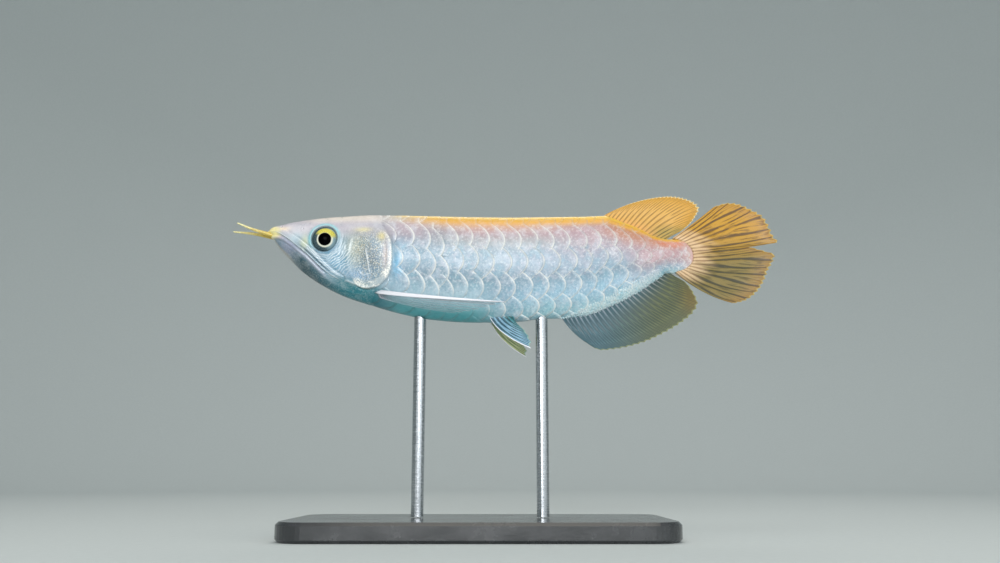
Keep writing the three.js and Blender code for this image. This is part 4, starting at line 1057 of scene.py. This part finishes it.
def barbel_piece(name, material):
    """A barbel: circles square to a smooth path, whose radius tapers by the power 1.5 of its length from
    a flared root, with faint rings, and shrinks over a round tip."""
    sides = 18
    knots = np.array([place(along, SIDES[name] * across, up) for along, across, up in BARBELS[name]])
    shares = np.r_[np.linspace(0, 0.97, 46), 0.98, 0.988, 0.994, 0.998, 1]
    path = curve_at(knots, shares)
    radius = 0.66 - 0.44 * shares**1.5 + 0.25 * bell(shares, 0.2) + 0.012 * np.sin(shares * 150)
    radius = radius * np.sqrt(np.clip((1.003 - shares) / 0.023, 0, 1)) * MM
    ahead = np.gradient(path, axis=0)
    ahead = ahead / np.linalg.norm(ahead, axis=1, keepdims=True)
    first = np.cross(ahead, [0, 0, 1.0])
    first = first / np.linalg.norm(first, axis=1, keepdims=True)
    second = np.cross(ahead, first)
    turn = np.linspace(0, 2 * math.pi, sides, endpoint=False)[None, :, None]
    spokes = first[:, None] * np.cos(turn) + second[:, None] * np.sin(turn)
    points = path[:, None] + spokes * radius[:, None, None]
    ends = np.stack([path[0] - ahead[0] * radius[0] * 0.3, path[-1] + ahead[-1] * radius[-1] * 0.5])
    points = np.vstack([points.reshape(-1, 3), ends])
    piece = mesh_piece(f"feeler_{name}", points, closed_rings(len(path), sides))
    give_number(piece, "out", np.r_[np.repeat(np.linspace(0, 1, len(path)), sides), 0, 1])
    return finish_piece(piece, "barbel", material, f"barbel_{name}")


# Finishes. The scale of a noise is its number of cells in a metre, so 300 makes clouds of about 3 mm and
# 2300 makes grains of about 0.4 mm.

def add(tree, kind, inputs=None, out=0, **settings):
    """Adds a node of a kind with its settings, and gives back one of its outputs. Inputs go by name or
    number: an output of another node is linked there, a hex colour is turned linear, and anything else is
    set."""
    node = tree.nodes.new("ShaderNode" + kind)
    for name, value in settings.items():
        setattr(node, name, value)
    for name, value in (inputs or {}).items():
        if isinstance(value, bpy.types.NodeSocket):
            tree.links.new(value, node.inputs[name])
        elif isinstance(value, str):
            node.inputs[name].default_value = (*linear(value), 1.0)
        else:
            node.inputs[name].default_value = value
    return node.outputs[out] if len(node.outputs) else None


def share_of(tree, *factors):
    """Product of factors. Each is a number, an output, or an output with two levels, between which it
    eases from 0 to 1."""
    product = 1.0
    for factor in factors:
        if isinstance(factor, tuple):
            levels = dict(enumerate(factor))
            factor = add(tree, "MapRange", levels, interpolation_type="SMOOTHSTEP")
        product = add(tree, "Math", {0: product, 1: factor}, operation="MULTIPLY")
    return product


def layered(tree, tone, layers):
    """Colours laid over a tone, one after another, each by the product of its factors."""
    for colour, *factors in layers:
        tone = add(tree, "Mix", {0: share_of(tree, *factors), 6: tone, 7: colour}, out=2, data_type="RGBA")
    return tone


def stacked(tree, *parts):
    """Sum of outputs, each times its weight."""
    total = 0.0
    for part, weight in parts:
        total = add(tree, "Math", {0: part, 1: weight, 2: total}, operation="MULTIPLY_ADD")
    return total


def make_finish(name, wiring):
    """A material of one Principled shader, whose inputs are what wiring returns."""
    material = bpy.data.materials.new(name)
    material.use_nodes = True
    tree = material.node_tree
    tree.nodes.clear()
    shader = add(tree, "BsdfPrincipled", wiring(tree))
    add(tree, "OutputMaterial", {"Surface": shader})
    return material


def wet_skin(tree):
    """Thin wet skin over bone: the head's own colours, broken up by grains of silver, gold and blue, with
    fine folds round the eye that carry painted highlights and painted shadows between them, painted
    highlights on the ridges, painted shade in the creases and a clear film of slime."""
    where = add(tree, "TexCoord", out="Object")
    cloud = add(tree, "TexNoise", {"Vector": where, "Scale": 380.0, "Detail": 4.0, "Roughness": 0.6})
    grain = add(tree, "TexNoise", {"Vector": where, "Scale": 2300.0, "Detail": 3.0, "Roughness": 0.65})
    fleck = add(tree, "TexNoise", {"Vector": where, "Scale": 2700.0, "Detail": 2.0, "Roughness": 0.7})
    swirl = add(tree, "TexNoise", {"Vector": where, "Scale": 330.0, "Detail": 2.0})
    from_eye, cheek, cover, rim, ridge_highlight, crease_shade = (
        add(tree, "Attribute", out="Fac", attribute_name=name)
        for name in ("from_eye", "cheek", "cover", "rim", "ridge_highlight", "crease_shade")
    )
    ripple = add(tree, "Math", {0: stacked(tree, (from_eye, 7.6), (swirl, 21.0))}, operation="SINE")
    fold = share_of(tree, (ripple, 0.0, 0.95), cheek)
    tone = layered(tree, add(tree, "Attribute", out="Color", attribute_name="tone"), [
        ("#e6edf0", 0.16, (cloud, 0.4, 0.72)),
        ("#7b99a6", 0.16, (cloud, 0.56, 0.3)),
        # Painted highlight on the crests of the folds under the eye, and painted shadow in the hollows
        # between them
        ("#eef6f8", 0.75, fold),
        ("#74a6bd", 0.45, (ripple, -0.1, -0.9), cheek),
        ("#eceee6", 0.12, (grain, 0.5, 0.6)),
        ("#f6f5ea", 0.52, (grain, 0.51, 0.62), cover),
        ("#5f7c8d", 0.5, (grain, 0.49, 0.38), cover),
        ("#bd9f55", 0.45, (fleck, 0.55, 0.62), cover),
        ("#efe9dc", 0.25, rim),
        ("#fdfaf0", 0.95, (grain, 0.4, 0.52), (cloud, 0.38, 0.54), rim),
        # Painted highlight on the ridges and folds, and painted shade in the creases
        ("#f5f9fa", 0.7, ridge_highlight),
        ("#2b474e", 0.85, crease_shade),
    ])
    relief = stacked(tree, (grain, 0.3), (share_of(tree, grain, cover), 0.8), (fold, 0.7))
    bump = add(tree, "Bump", {"Height": relief, "Strength": 0.5, "Distance": 0.00012})
    return {
        "Base Color": tone, "Metallic": 0.05, "Roughness": share_of(tree, 0.7, (cloud, -0.6, 1.6)),
        "Normal": bump, "Coat Weight": 0.2, "Coat Roughness": 0.18, "IOR": 1.4,
    }


def guanine_scale(tree):
    """A bony scale backed by silver crystals: a narrow bright rim that is partly its pale margin and partly
    a painted highlight, a duller middle with fine growth rings and a net of canals, flecks of rose, white
    and turquoise, and painted shade towards its root under the rim of the scale in front, all under a clear
    wet film."""
    where = add(tree, "TexCoord", out="Object")
    on_scale = add(tree, "UVMap", uv_map="scale")
    ahead = add(tree, "SeparateXYZ", {0: on_scale}, out=1)
    cloud = add(tree, "TexNoise", {"Vector": where, "Scale": 300.0, "Detail": 4.0, "Roughness": 0.65})
    blotch = add(tree, "TexNoise", {"Vector": where, "Scale": 650.0, "Detail": 3.0, "Roughness": 0.6})
    fine = add(tree, "TexNoise", {"Vector": where, "Scale": 1400.0, "Detail": 3.0, "Roughness": 0.65})
    net = add(tree, "TexVoronoi", {"Vector": where, "Scale": 1100.0}, feature="DISTANCE_TO_EDGE")
    silver, cool, brim, shade = (
        add(tree, "Attribute", out="Fac", attribute_name=name)
        for name in ("silver", "cool", "brim", "shade")
    )
    ragged = stacked(tree, (cloud, 0.5), (ahead, 1.0), (1.0, -0.25))
    edge = stacked(tree, (blotch, 0.3), (ahead, 1.0), (1.0, -0.15))
    tone = layered(tree, add(tree, "Attribute", out="Color", attribute_name="tone"), [
        ("#8699ab", 0.3, cool, (shade, -2.0, 2.0)),
        ("#dadfe6", 0.36, silver, (cloud, 0.46, 0.66)),
        ("#95c2d0", 0.28, cool, (cloud, 0.5, 0.34)),
        ("#e0cad2", 0.17, silver, (blotch, 0.52, 0.66)),
        ("#7896ac", 0.24, cool, (blotch, 0.48, 0.36)),
        ("#f4f6f4", 0.32, silver, (fine, 0.52, 0.64)),
        ("#6f8ea2", 0.24, cool, (fine, 0.47, 0.38)),
        ("#6d8798", 0.16, cool, (net, 0.1, 0.02), (ahead, 0.6, 1.4)),
        # Painted shade on the front of each scale, where it lies under the rim of the scale in front
        ("#7f9aa9", 0.22, cool, (ragged, 2.8, 4.8)),
        # A whitish band and a pale rim at the free edge: partly the scale's own margin, partly a painted
        # highlight where light catches the edge
        ("#e3e8ec", 0.25, brim, (ragged, 1.5, 0.4)),
        ("#f6f4ec", 0.62, brim, (edge, 0.56, 0.22), (cloud, 0.3, 0.55)),
    ])
    ring = add(tree, "Math", {0: stacked(tree, (ahead, 21.0))}, operation="SINE")
    relief = stacked(tree, (ring, 0.2), (net, 1.2), (fine, 1.0))
    bump = add(tree, "Bump", {"Height": relief, "Strength": 0.4, "Distance": 0.0001})
    return {
        "Base Color": tone, "Metallic": 0.1, "Roughness": share_of(tree, 0.7, (fine, -0.6, 1.6)),
        "Normal": bump, "Coat Weight": 0.2, "Coat Roughness": 0.2, "IOR": 1.4,
    }


def fin_wiring(margin, margin_share, web_alpha=1.0, ray_alpha=1.0, joints=0.2, streaks=0.35):
    """A fin's web and its jointed bony rays, with streaks of web and ray drawn out along the rays, and a
    margin of its own colour. The web may be thin enough to see through, but not at its root or its
    leading edge."""
    def wiring(tree):
        where = add(tree, "TexCoord", out="Object")
        streak = add(tree, "TexNoise", {"Vector": where, "Scale": 900.0, "Detail": 3.0, "Roughness": 0.6})
        ray, out, from_margin, lead, count = (
            add(tree, "Attribute", out="Fac", attribute_name=name)
            for name in ("ray", "from_root", "from_margin", "lead", "count")
        )
        drawn = add(tree, "CombineXYZ", {0: stacked(tree, (count, 3.4)), 1: stacked(tree, (out, 0.16))})
        strand = add(tree, "TexNoise", {"Vector": drawn, "Scale": 1.0, "Detail": 3.0, "Roughness": 0.6})
        web_tone, ray_tone = (
            add(tree, "Attribute", out="Color", attribute_name=name) for name in ("web_tone", "ray_tone")
        )
        on_ray = share_of(tree, (ray, 0.12, 0.5))
        joint = add(tree, "Math", {0: stacked(tree, (out, 9.4))}, operation="SINE")
        ring = share_of(tree, joints, (joint, 0.7, 1.0))
        tone = layered(tree, web_tone, [
            ("#2a3230", 0.15, (streak, 0.35, 0.7)),
            (ray_tone, on_ray),
            (web_tone, streaks, (strand, 0.5, 0.66)),
            (ray_tone, streaks, (strand, 0.46, 0.34)),
            (web_tone, ring, on_ray),
            (margin, margin_share, (from_margin, 0.6, 0.15)),
        ])
        relief = stacked(tree, (ring, -1.0), (streak, 0.4))
        bump = add(tree, "Bump", {"Height": relief, "Strength": 0.4, "Distance": 0.0001})
        inputs = {
            "Base Color": tone, "Roughness": share_of(tree, 0.55, (streak, -0.8, 1.4)), "Normal": bump,
            "Coat Weight": 0.2, "Coat Roughness": 0.2, "IOR": 1.4,
        }
        if web_alpha < 1:
            leading = share_of(tree, (lead, 0.2, 0.6))
            inputs["Base Color"] = layered(tree, tone, [("#ecebf1", leading)])
            thin = stacked(tree, (on_ray, ray_alpha - web_alpha), (1.0, web_alpha), (leading, 1.0))
            near_root = share_of(tree, (out, 2.5, 0.5))
            inputs["Alpha"] = add(tree, "Math", {0: thin, 1: near_root}, operation="MAXIMUM")
        return inputs
    return wiring


def eye_wiring(tree):
    """A clear bulging eye: a black pupil, a narrow cream ring, an iris of slate that is paler behind, with a
    yellow crescent over the pupil and a dark outer edge, darkest below, that is partly painted shadow from
    the socket, all under one glossy cornea."""
    places = add(tree, "UVMap", uv_map="eye")
    x, z = (add(tree, "SeparateXYZ", {0: places}, out=axis) for axis in (0, 1))
    radius = add(tree, "VectorMath", {0: places}, out="Value", operation="LENGTH")
    flecks = add(tree, "TexNoise", {"Vector": places, "Scale": 3.2, "Detail": 4.0, "Roughness": 0.65})
    ragged = stacked(tree, (flecks, 0.45), (radius, 1.0), (1.0, -0.22))
    span = add(tree, "Math", {0: radius, 1: 0.1}, operation="MAXIMUM")
    behind, above = (add(tree, "Math", {0: part, 1: span}, operation="DIVIDE") for part in (x, z))
    gold = layered(tree, "#b9a93c", [("#dad26c", (flecks, 0.36, 0.58))])
    crescent = stacked(tree, (above, 1.0), (behind, 0.2))
    tone = layered(tree, "#35484e", [
        ("#86a0a8", (behind, -0.1, 0.7)),
        ("#98a9ac", 0.4, (flecks, 0.45, 0.7)),
        ("#dcdccb", (ragged, 2.0, 2.2), (ragged, 2.85, 2.5)),
        (gold, (crescent, 0.2, 0.72), (ragged, 2.05, 2.35), (ragged, 3.95, 3.6)),
        # Dark outer edge of the iris, darkest below: partly its own colour, partly painted shadow from the
        # socket
        ("#35504f", 0.8, (ragged, 3.95, 4.15), (above, 1.3, 0.2)),
        ("#000001", (radius, 2.2, 2.08)),
    ])
    return {
        "Base Color": tone, "Roughness": 0.35, "IOR": 1.33, "Specular IOR Level": 0.02, "Coat Weight": 0.02,
        "Coat Roughness": 0.02,
    }


def barbel_wiring(tree):
    """Soft yellow feelers, paler at the tip, with faint rings."""
    where = add(tree, "TexCoord", out="Object")
    cloud = add(tree, "TexNoise", {"Vector": where, "Scale": 900.0, "Detail": 3.0})
    out = add(tree, "Attribute", out="Fac", attribute_name="out")
    tone = layered(tree, "#d3b84c", [("#ebe6ac", (out, 0.1, 1.0)), ("#b48f3a", 0.4, (cloud, 0.4, 0.7))])
    bump = add(tree, "Bump", {"Height": cloud, "Strength": 0.4, "Distance": 0.0001})
    return {
        "Base Color": tone, "Roughness": 0.38, "Normal": bump, "Coat Weight": 0.3, "Coat Roughness": 0.2,
        "Subsurface Weight": 0.15, "Subsurface Radius": (0.001, 0.0008, 0.0004),
    }


def base_lacquer(tree):
    """Satin black lacquer on a wooden plinth: the faint peel of a sprayed coat and a little dust of
    wear."""
    where = add(tree, "TexCoord", out="Object")
    peel = add(tree, "TexNoise", {"Vector": where, "Scale": 900.0, "Detail": 2.0})
    wear = add(tree, "TexNoise", {"Vector": where, "Scale": 60.0, "Detail": 6.0, "Roughness": 0.7})
    tone = layered(tree, "#2b2d2f", [("#3b3d3f", (wear, 0.4, 0.75))])
    bump = add(tree, "Bump", {"Height": peel, "Strength": 0.25, "Distance": 0.0001})
    return {
        "Base Color": tone, "Roughness": share_of(tree, 0.5, (wear, -0.6, 1.6)), "Normal": bump,
        "Coat Weight": 0.4, "Coat Roughness": 0.15,
    }


def brushed_steel(tree):
    """Steel rod brushed round its axis: fine level scratches in its tone, its gloss and its relief."""
    where = add(tree, "TexCoord", out="Object")
    turned = add(tree, "Mapping", {"Vector": where, "Scale": (300.0, 300.0, 9000.0)})
    scratch = add(tree, "TexNoise", {"Vector": turned, "Scale": 1.0, "Detail": 3.0})
    tone = layered(tree, "#b0b4b8", [("#bec2c6", (scratch, 0.35, 0.65))])
    bump = add(tree, "Bump", {"Height": scratch, "Strength": 0.12, "Distance": 0.00001})
    rough = share_of(tree, 0.5, (scratch, -0.6, 1.6))
    return {"Base Color": tone, "Metallic": 1.0, "Roughness": rough, "Normal": bump}


def pale_paper(tree):
    """Matte backdrop paper with hardly any grain."""
    where = add(tree, "TexCoord", out="Object")
    grain = add(tree, "TexNoise", {"Vector": where, "Scale": 400.0, "Detail": 3.0})
    tone = layered(tree, "#d0d6d5", [("#d8dddc", grain)])
    return {"Base Color": tone, "Roughness": 0.9, "Specular IOR Level": 0.2}


# The pieces

skin_finish = make_finish("wet_skin_over_bone", wet_skin)
scale_finish = make_finish("guanine_silver_scale", guanine_scale)
gold_fin = make_finish("gold_fin_web", fin_wiring("#f3e6b0", 0.8))
tail_fin = make_finish("olive_gold_fin_web", fin_wiring("#e3cd84", 0.6, joints=0.1, streaks=0.6))
slate_fin = make_finish("slate_fin_web", fin_wiring("#b6b885", 0.6))
clear_wiring = fin_wiring("#dcecee", 0.7, web_alpha=0.13, ray_alpha=0.42, joints=0.1)
clear_fin = make_finish("clear_fin_web", clear_wiring)
blue_fin = make_finish("blue_fin_web", fin_wiring("#b9dcc8", 0.6, web_alpha=0.7, ray_alpha=0.95, joints=0.1))
eye_finish = make_finish("glossy_eye", eye_wiring)
barbel_finish = make_finish("soft_yellow_feeler", barbel_wiring)
lacquer = make_finish("satin_black_lacquer", base_lacquer)
steel = make_finish("brushed_steel", brushed_steel)

skin_piece(skin_finish)
big_scales("scales_left", scale_finish, -1)
big_scales("scales_right", scale_finish, 1)
sheath_scales("anal_sheath_left", scale_finish, -1)
sheath_scales("anal_sheath_right", scale_finish, 1)

for name, side in SIDES.items():
    eye_piece(f"ball_{name}", side, eye_finish)
    barbel_piece(name, barbel_finish)

fin_piece("dorsal_web", swaying_path(DORSAL), 18, gold_fin, "gold_fin", "dorsal_fin", dorsal_tones,
          fine=20, scallop=0.038, teeth=2, normal=ACROSS)
fin_piece("anal_web", swaying_path(ANAL), 27, slate_fin, "olive_fin", "anal_fin", anal_tones,
          fine=14, width=0.14, normal=ACROSS)
fin_piece("tail_web", swaying_path(TAIL, tail_tips), TAIL["rays"], tail_fin, "gold_fin", "tail_fin",
          tail_tones, root=2.2, forks=(0.21, 0.105), width=0.27, teeth=2, wander=0.16, normal=ACROSS)
pectoral_tones = plain_tones("#d3e2ec", "#a3bcc8", "#d9d9e4")
pelvic_tones = {"left": pelvic_left_tones, "right": plain_tones("#c9d09a", "#849a62", "#9fb9a0")}
for name in SIDES:
    fin_piece(f"pectoral_web_{name}", paired_path(PECTORAL, name), 7, clear_fin, "pale_fin",
              f"pectoral_fin_{name}", pectoral_tones, membrane=0.1, ray_height=0.1, root=0.4,
              forks=(0.14, 0), width=0.2, scallop=0.04, leading=0.78, lead_width=0.42)
    fin_piece(f"pelvic_web_{name}", paired_path(PELVIC, name), 6, blue_fin, "pale_fin",
              f"pelvic_fin_{name}", pelvic_tones[name], membrane=0.12, ray_height=0.08, root=0.8,
              width=0.2, scallop=0.04, leading=0.14, lead_width=0.17)

for node, finish in (("stand_base", lacquer), ("stand_rod_front", steel), ("stand_rod_rear", steel)):
    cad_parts[node].data.materials.clear()
    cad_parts[node].data.materials.append(finish)


# The stage, the lights and the camera

FISH_MIDDLE = (0.01, 0, 0.09)
CAMERA = {"place": (0.0063, -0.313, 0.020), "tilt": 11.27, "sensor": 36.0, "lens": 34.56, "nearest": 0.01}


def stage_bowl(material):
    """Floor and backdrop in one: a curve turned round the vertical, level at first, then a quarter circle
    up."""
    turns = 96
    rise = np.linspace(0, math.pi / 2, 24)
    radius = np.r_[0.02, 0.3, 0.6, 0.8 + 0.5 * np.sin(rise), 1.3]
    height = np.r_[0, 0, 0, 0.5 - 0.5 * np.cos(rise), 1.8]
    rings = len(radius)
    turn = np.linspace(0, 2 * math.pi, turns, endpoint=False)
    points = np.stack([radius[:, None] * np.cos(turn), radius[:, None] * np.sin(turn),
                       np.broadcast_to(height[:, None], (rings, turns))], -1)
    around = np.arange(turns)
    disc = np.c_[np.full(turns, rings * turns), around, (around + 1) % turns]
    faces = [ring_faces(rings, turns)[:, ::-1], disc]
    bowl = mesh_piece("studio_floor", np.vstack([points.reshape(-1, 3), [[0, 0, 0]]]), faces)
    bowl.data.materials.append(material)


def soft_light(name, position, size, power, colour, spread=180):
    """A square panel of light turned to face the fish, whose light opens by a number of degrees."""
    panel = bpy.data.lights.new(name, "AREA")
    panel.size = size
    panel.energy = power
    panel.color = colour
    panel.spread = math.radians(spread)
    lamp = bpy.data.objects.new(name, panel)
    lamp.location = position
    lamp.rotation_euler = (Vector(FISH_MIDDLE) - Vector(position)).to_track_quat("-Z", "Y").to_euler()
    bpy.context.scene.collection.objects.link(lamp)


stage_bowl(make_finish("pale_backdrop_paper", pale_paper))
soft_light("front", (-0.05, -1.0, 0.24), 0.46, 1.62, (0.97, 0.98, 1.0), spread=80)
soft_light("key", (-0.22, -0.42, 0.72), 0.4, 0.5, (1.0, 0.98, 0.95))
soft_light("side", (0.45, -0.55, 0.2), 0.5, 1.0, (0.92, 0.97, 1.0))
soft_light("top", (0.05, -0.1, 0.65), 0.35, 0.6, (1.0, 0.93, 0.8))
soft_light("back", (0.1, 0.7, 0.9), 0.5, 1.6, (1.0, 0.98, 0.95))

world = bpy.data.worlds.new("soft_grey")
world.use_nodes = True
sky = world.node_tree.nodes["Background"]
sky.inputs["Color"].default_value = (*linear("#dfe5e8"), 1.0)
sky.inputs["Strength"].default_value = 0.65
bpy.context.scene.world = world
bpy.context.scene.view_settings.view_transform = "Standard"

view = bpy.data.cameras.new("view")
view.sensor_width = CAMERA["sensor"]
view.lens = CAMERA["lens"]
view.clip_start = CAMERA["nearest"]
viewer = bpy.data.objects.new("view", view)
viewer.location = CAMERA["place"]
viewer.rotation_euler = (math.radians(90 + CAMERA["tilt"]), 0, 0)
bpy.context.scene.collection.objects.link(viewer)
bpy.context.scene.camera = viewer
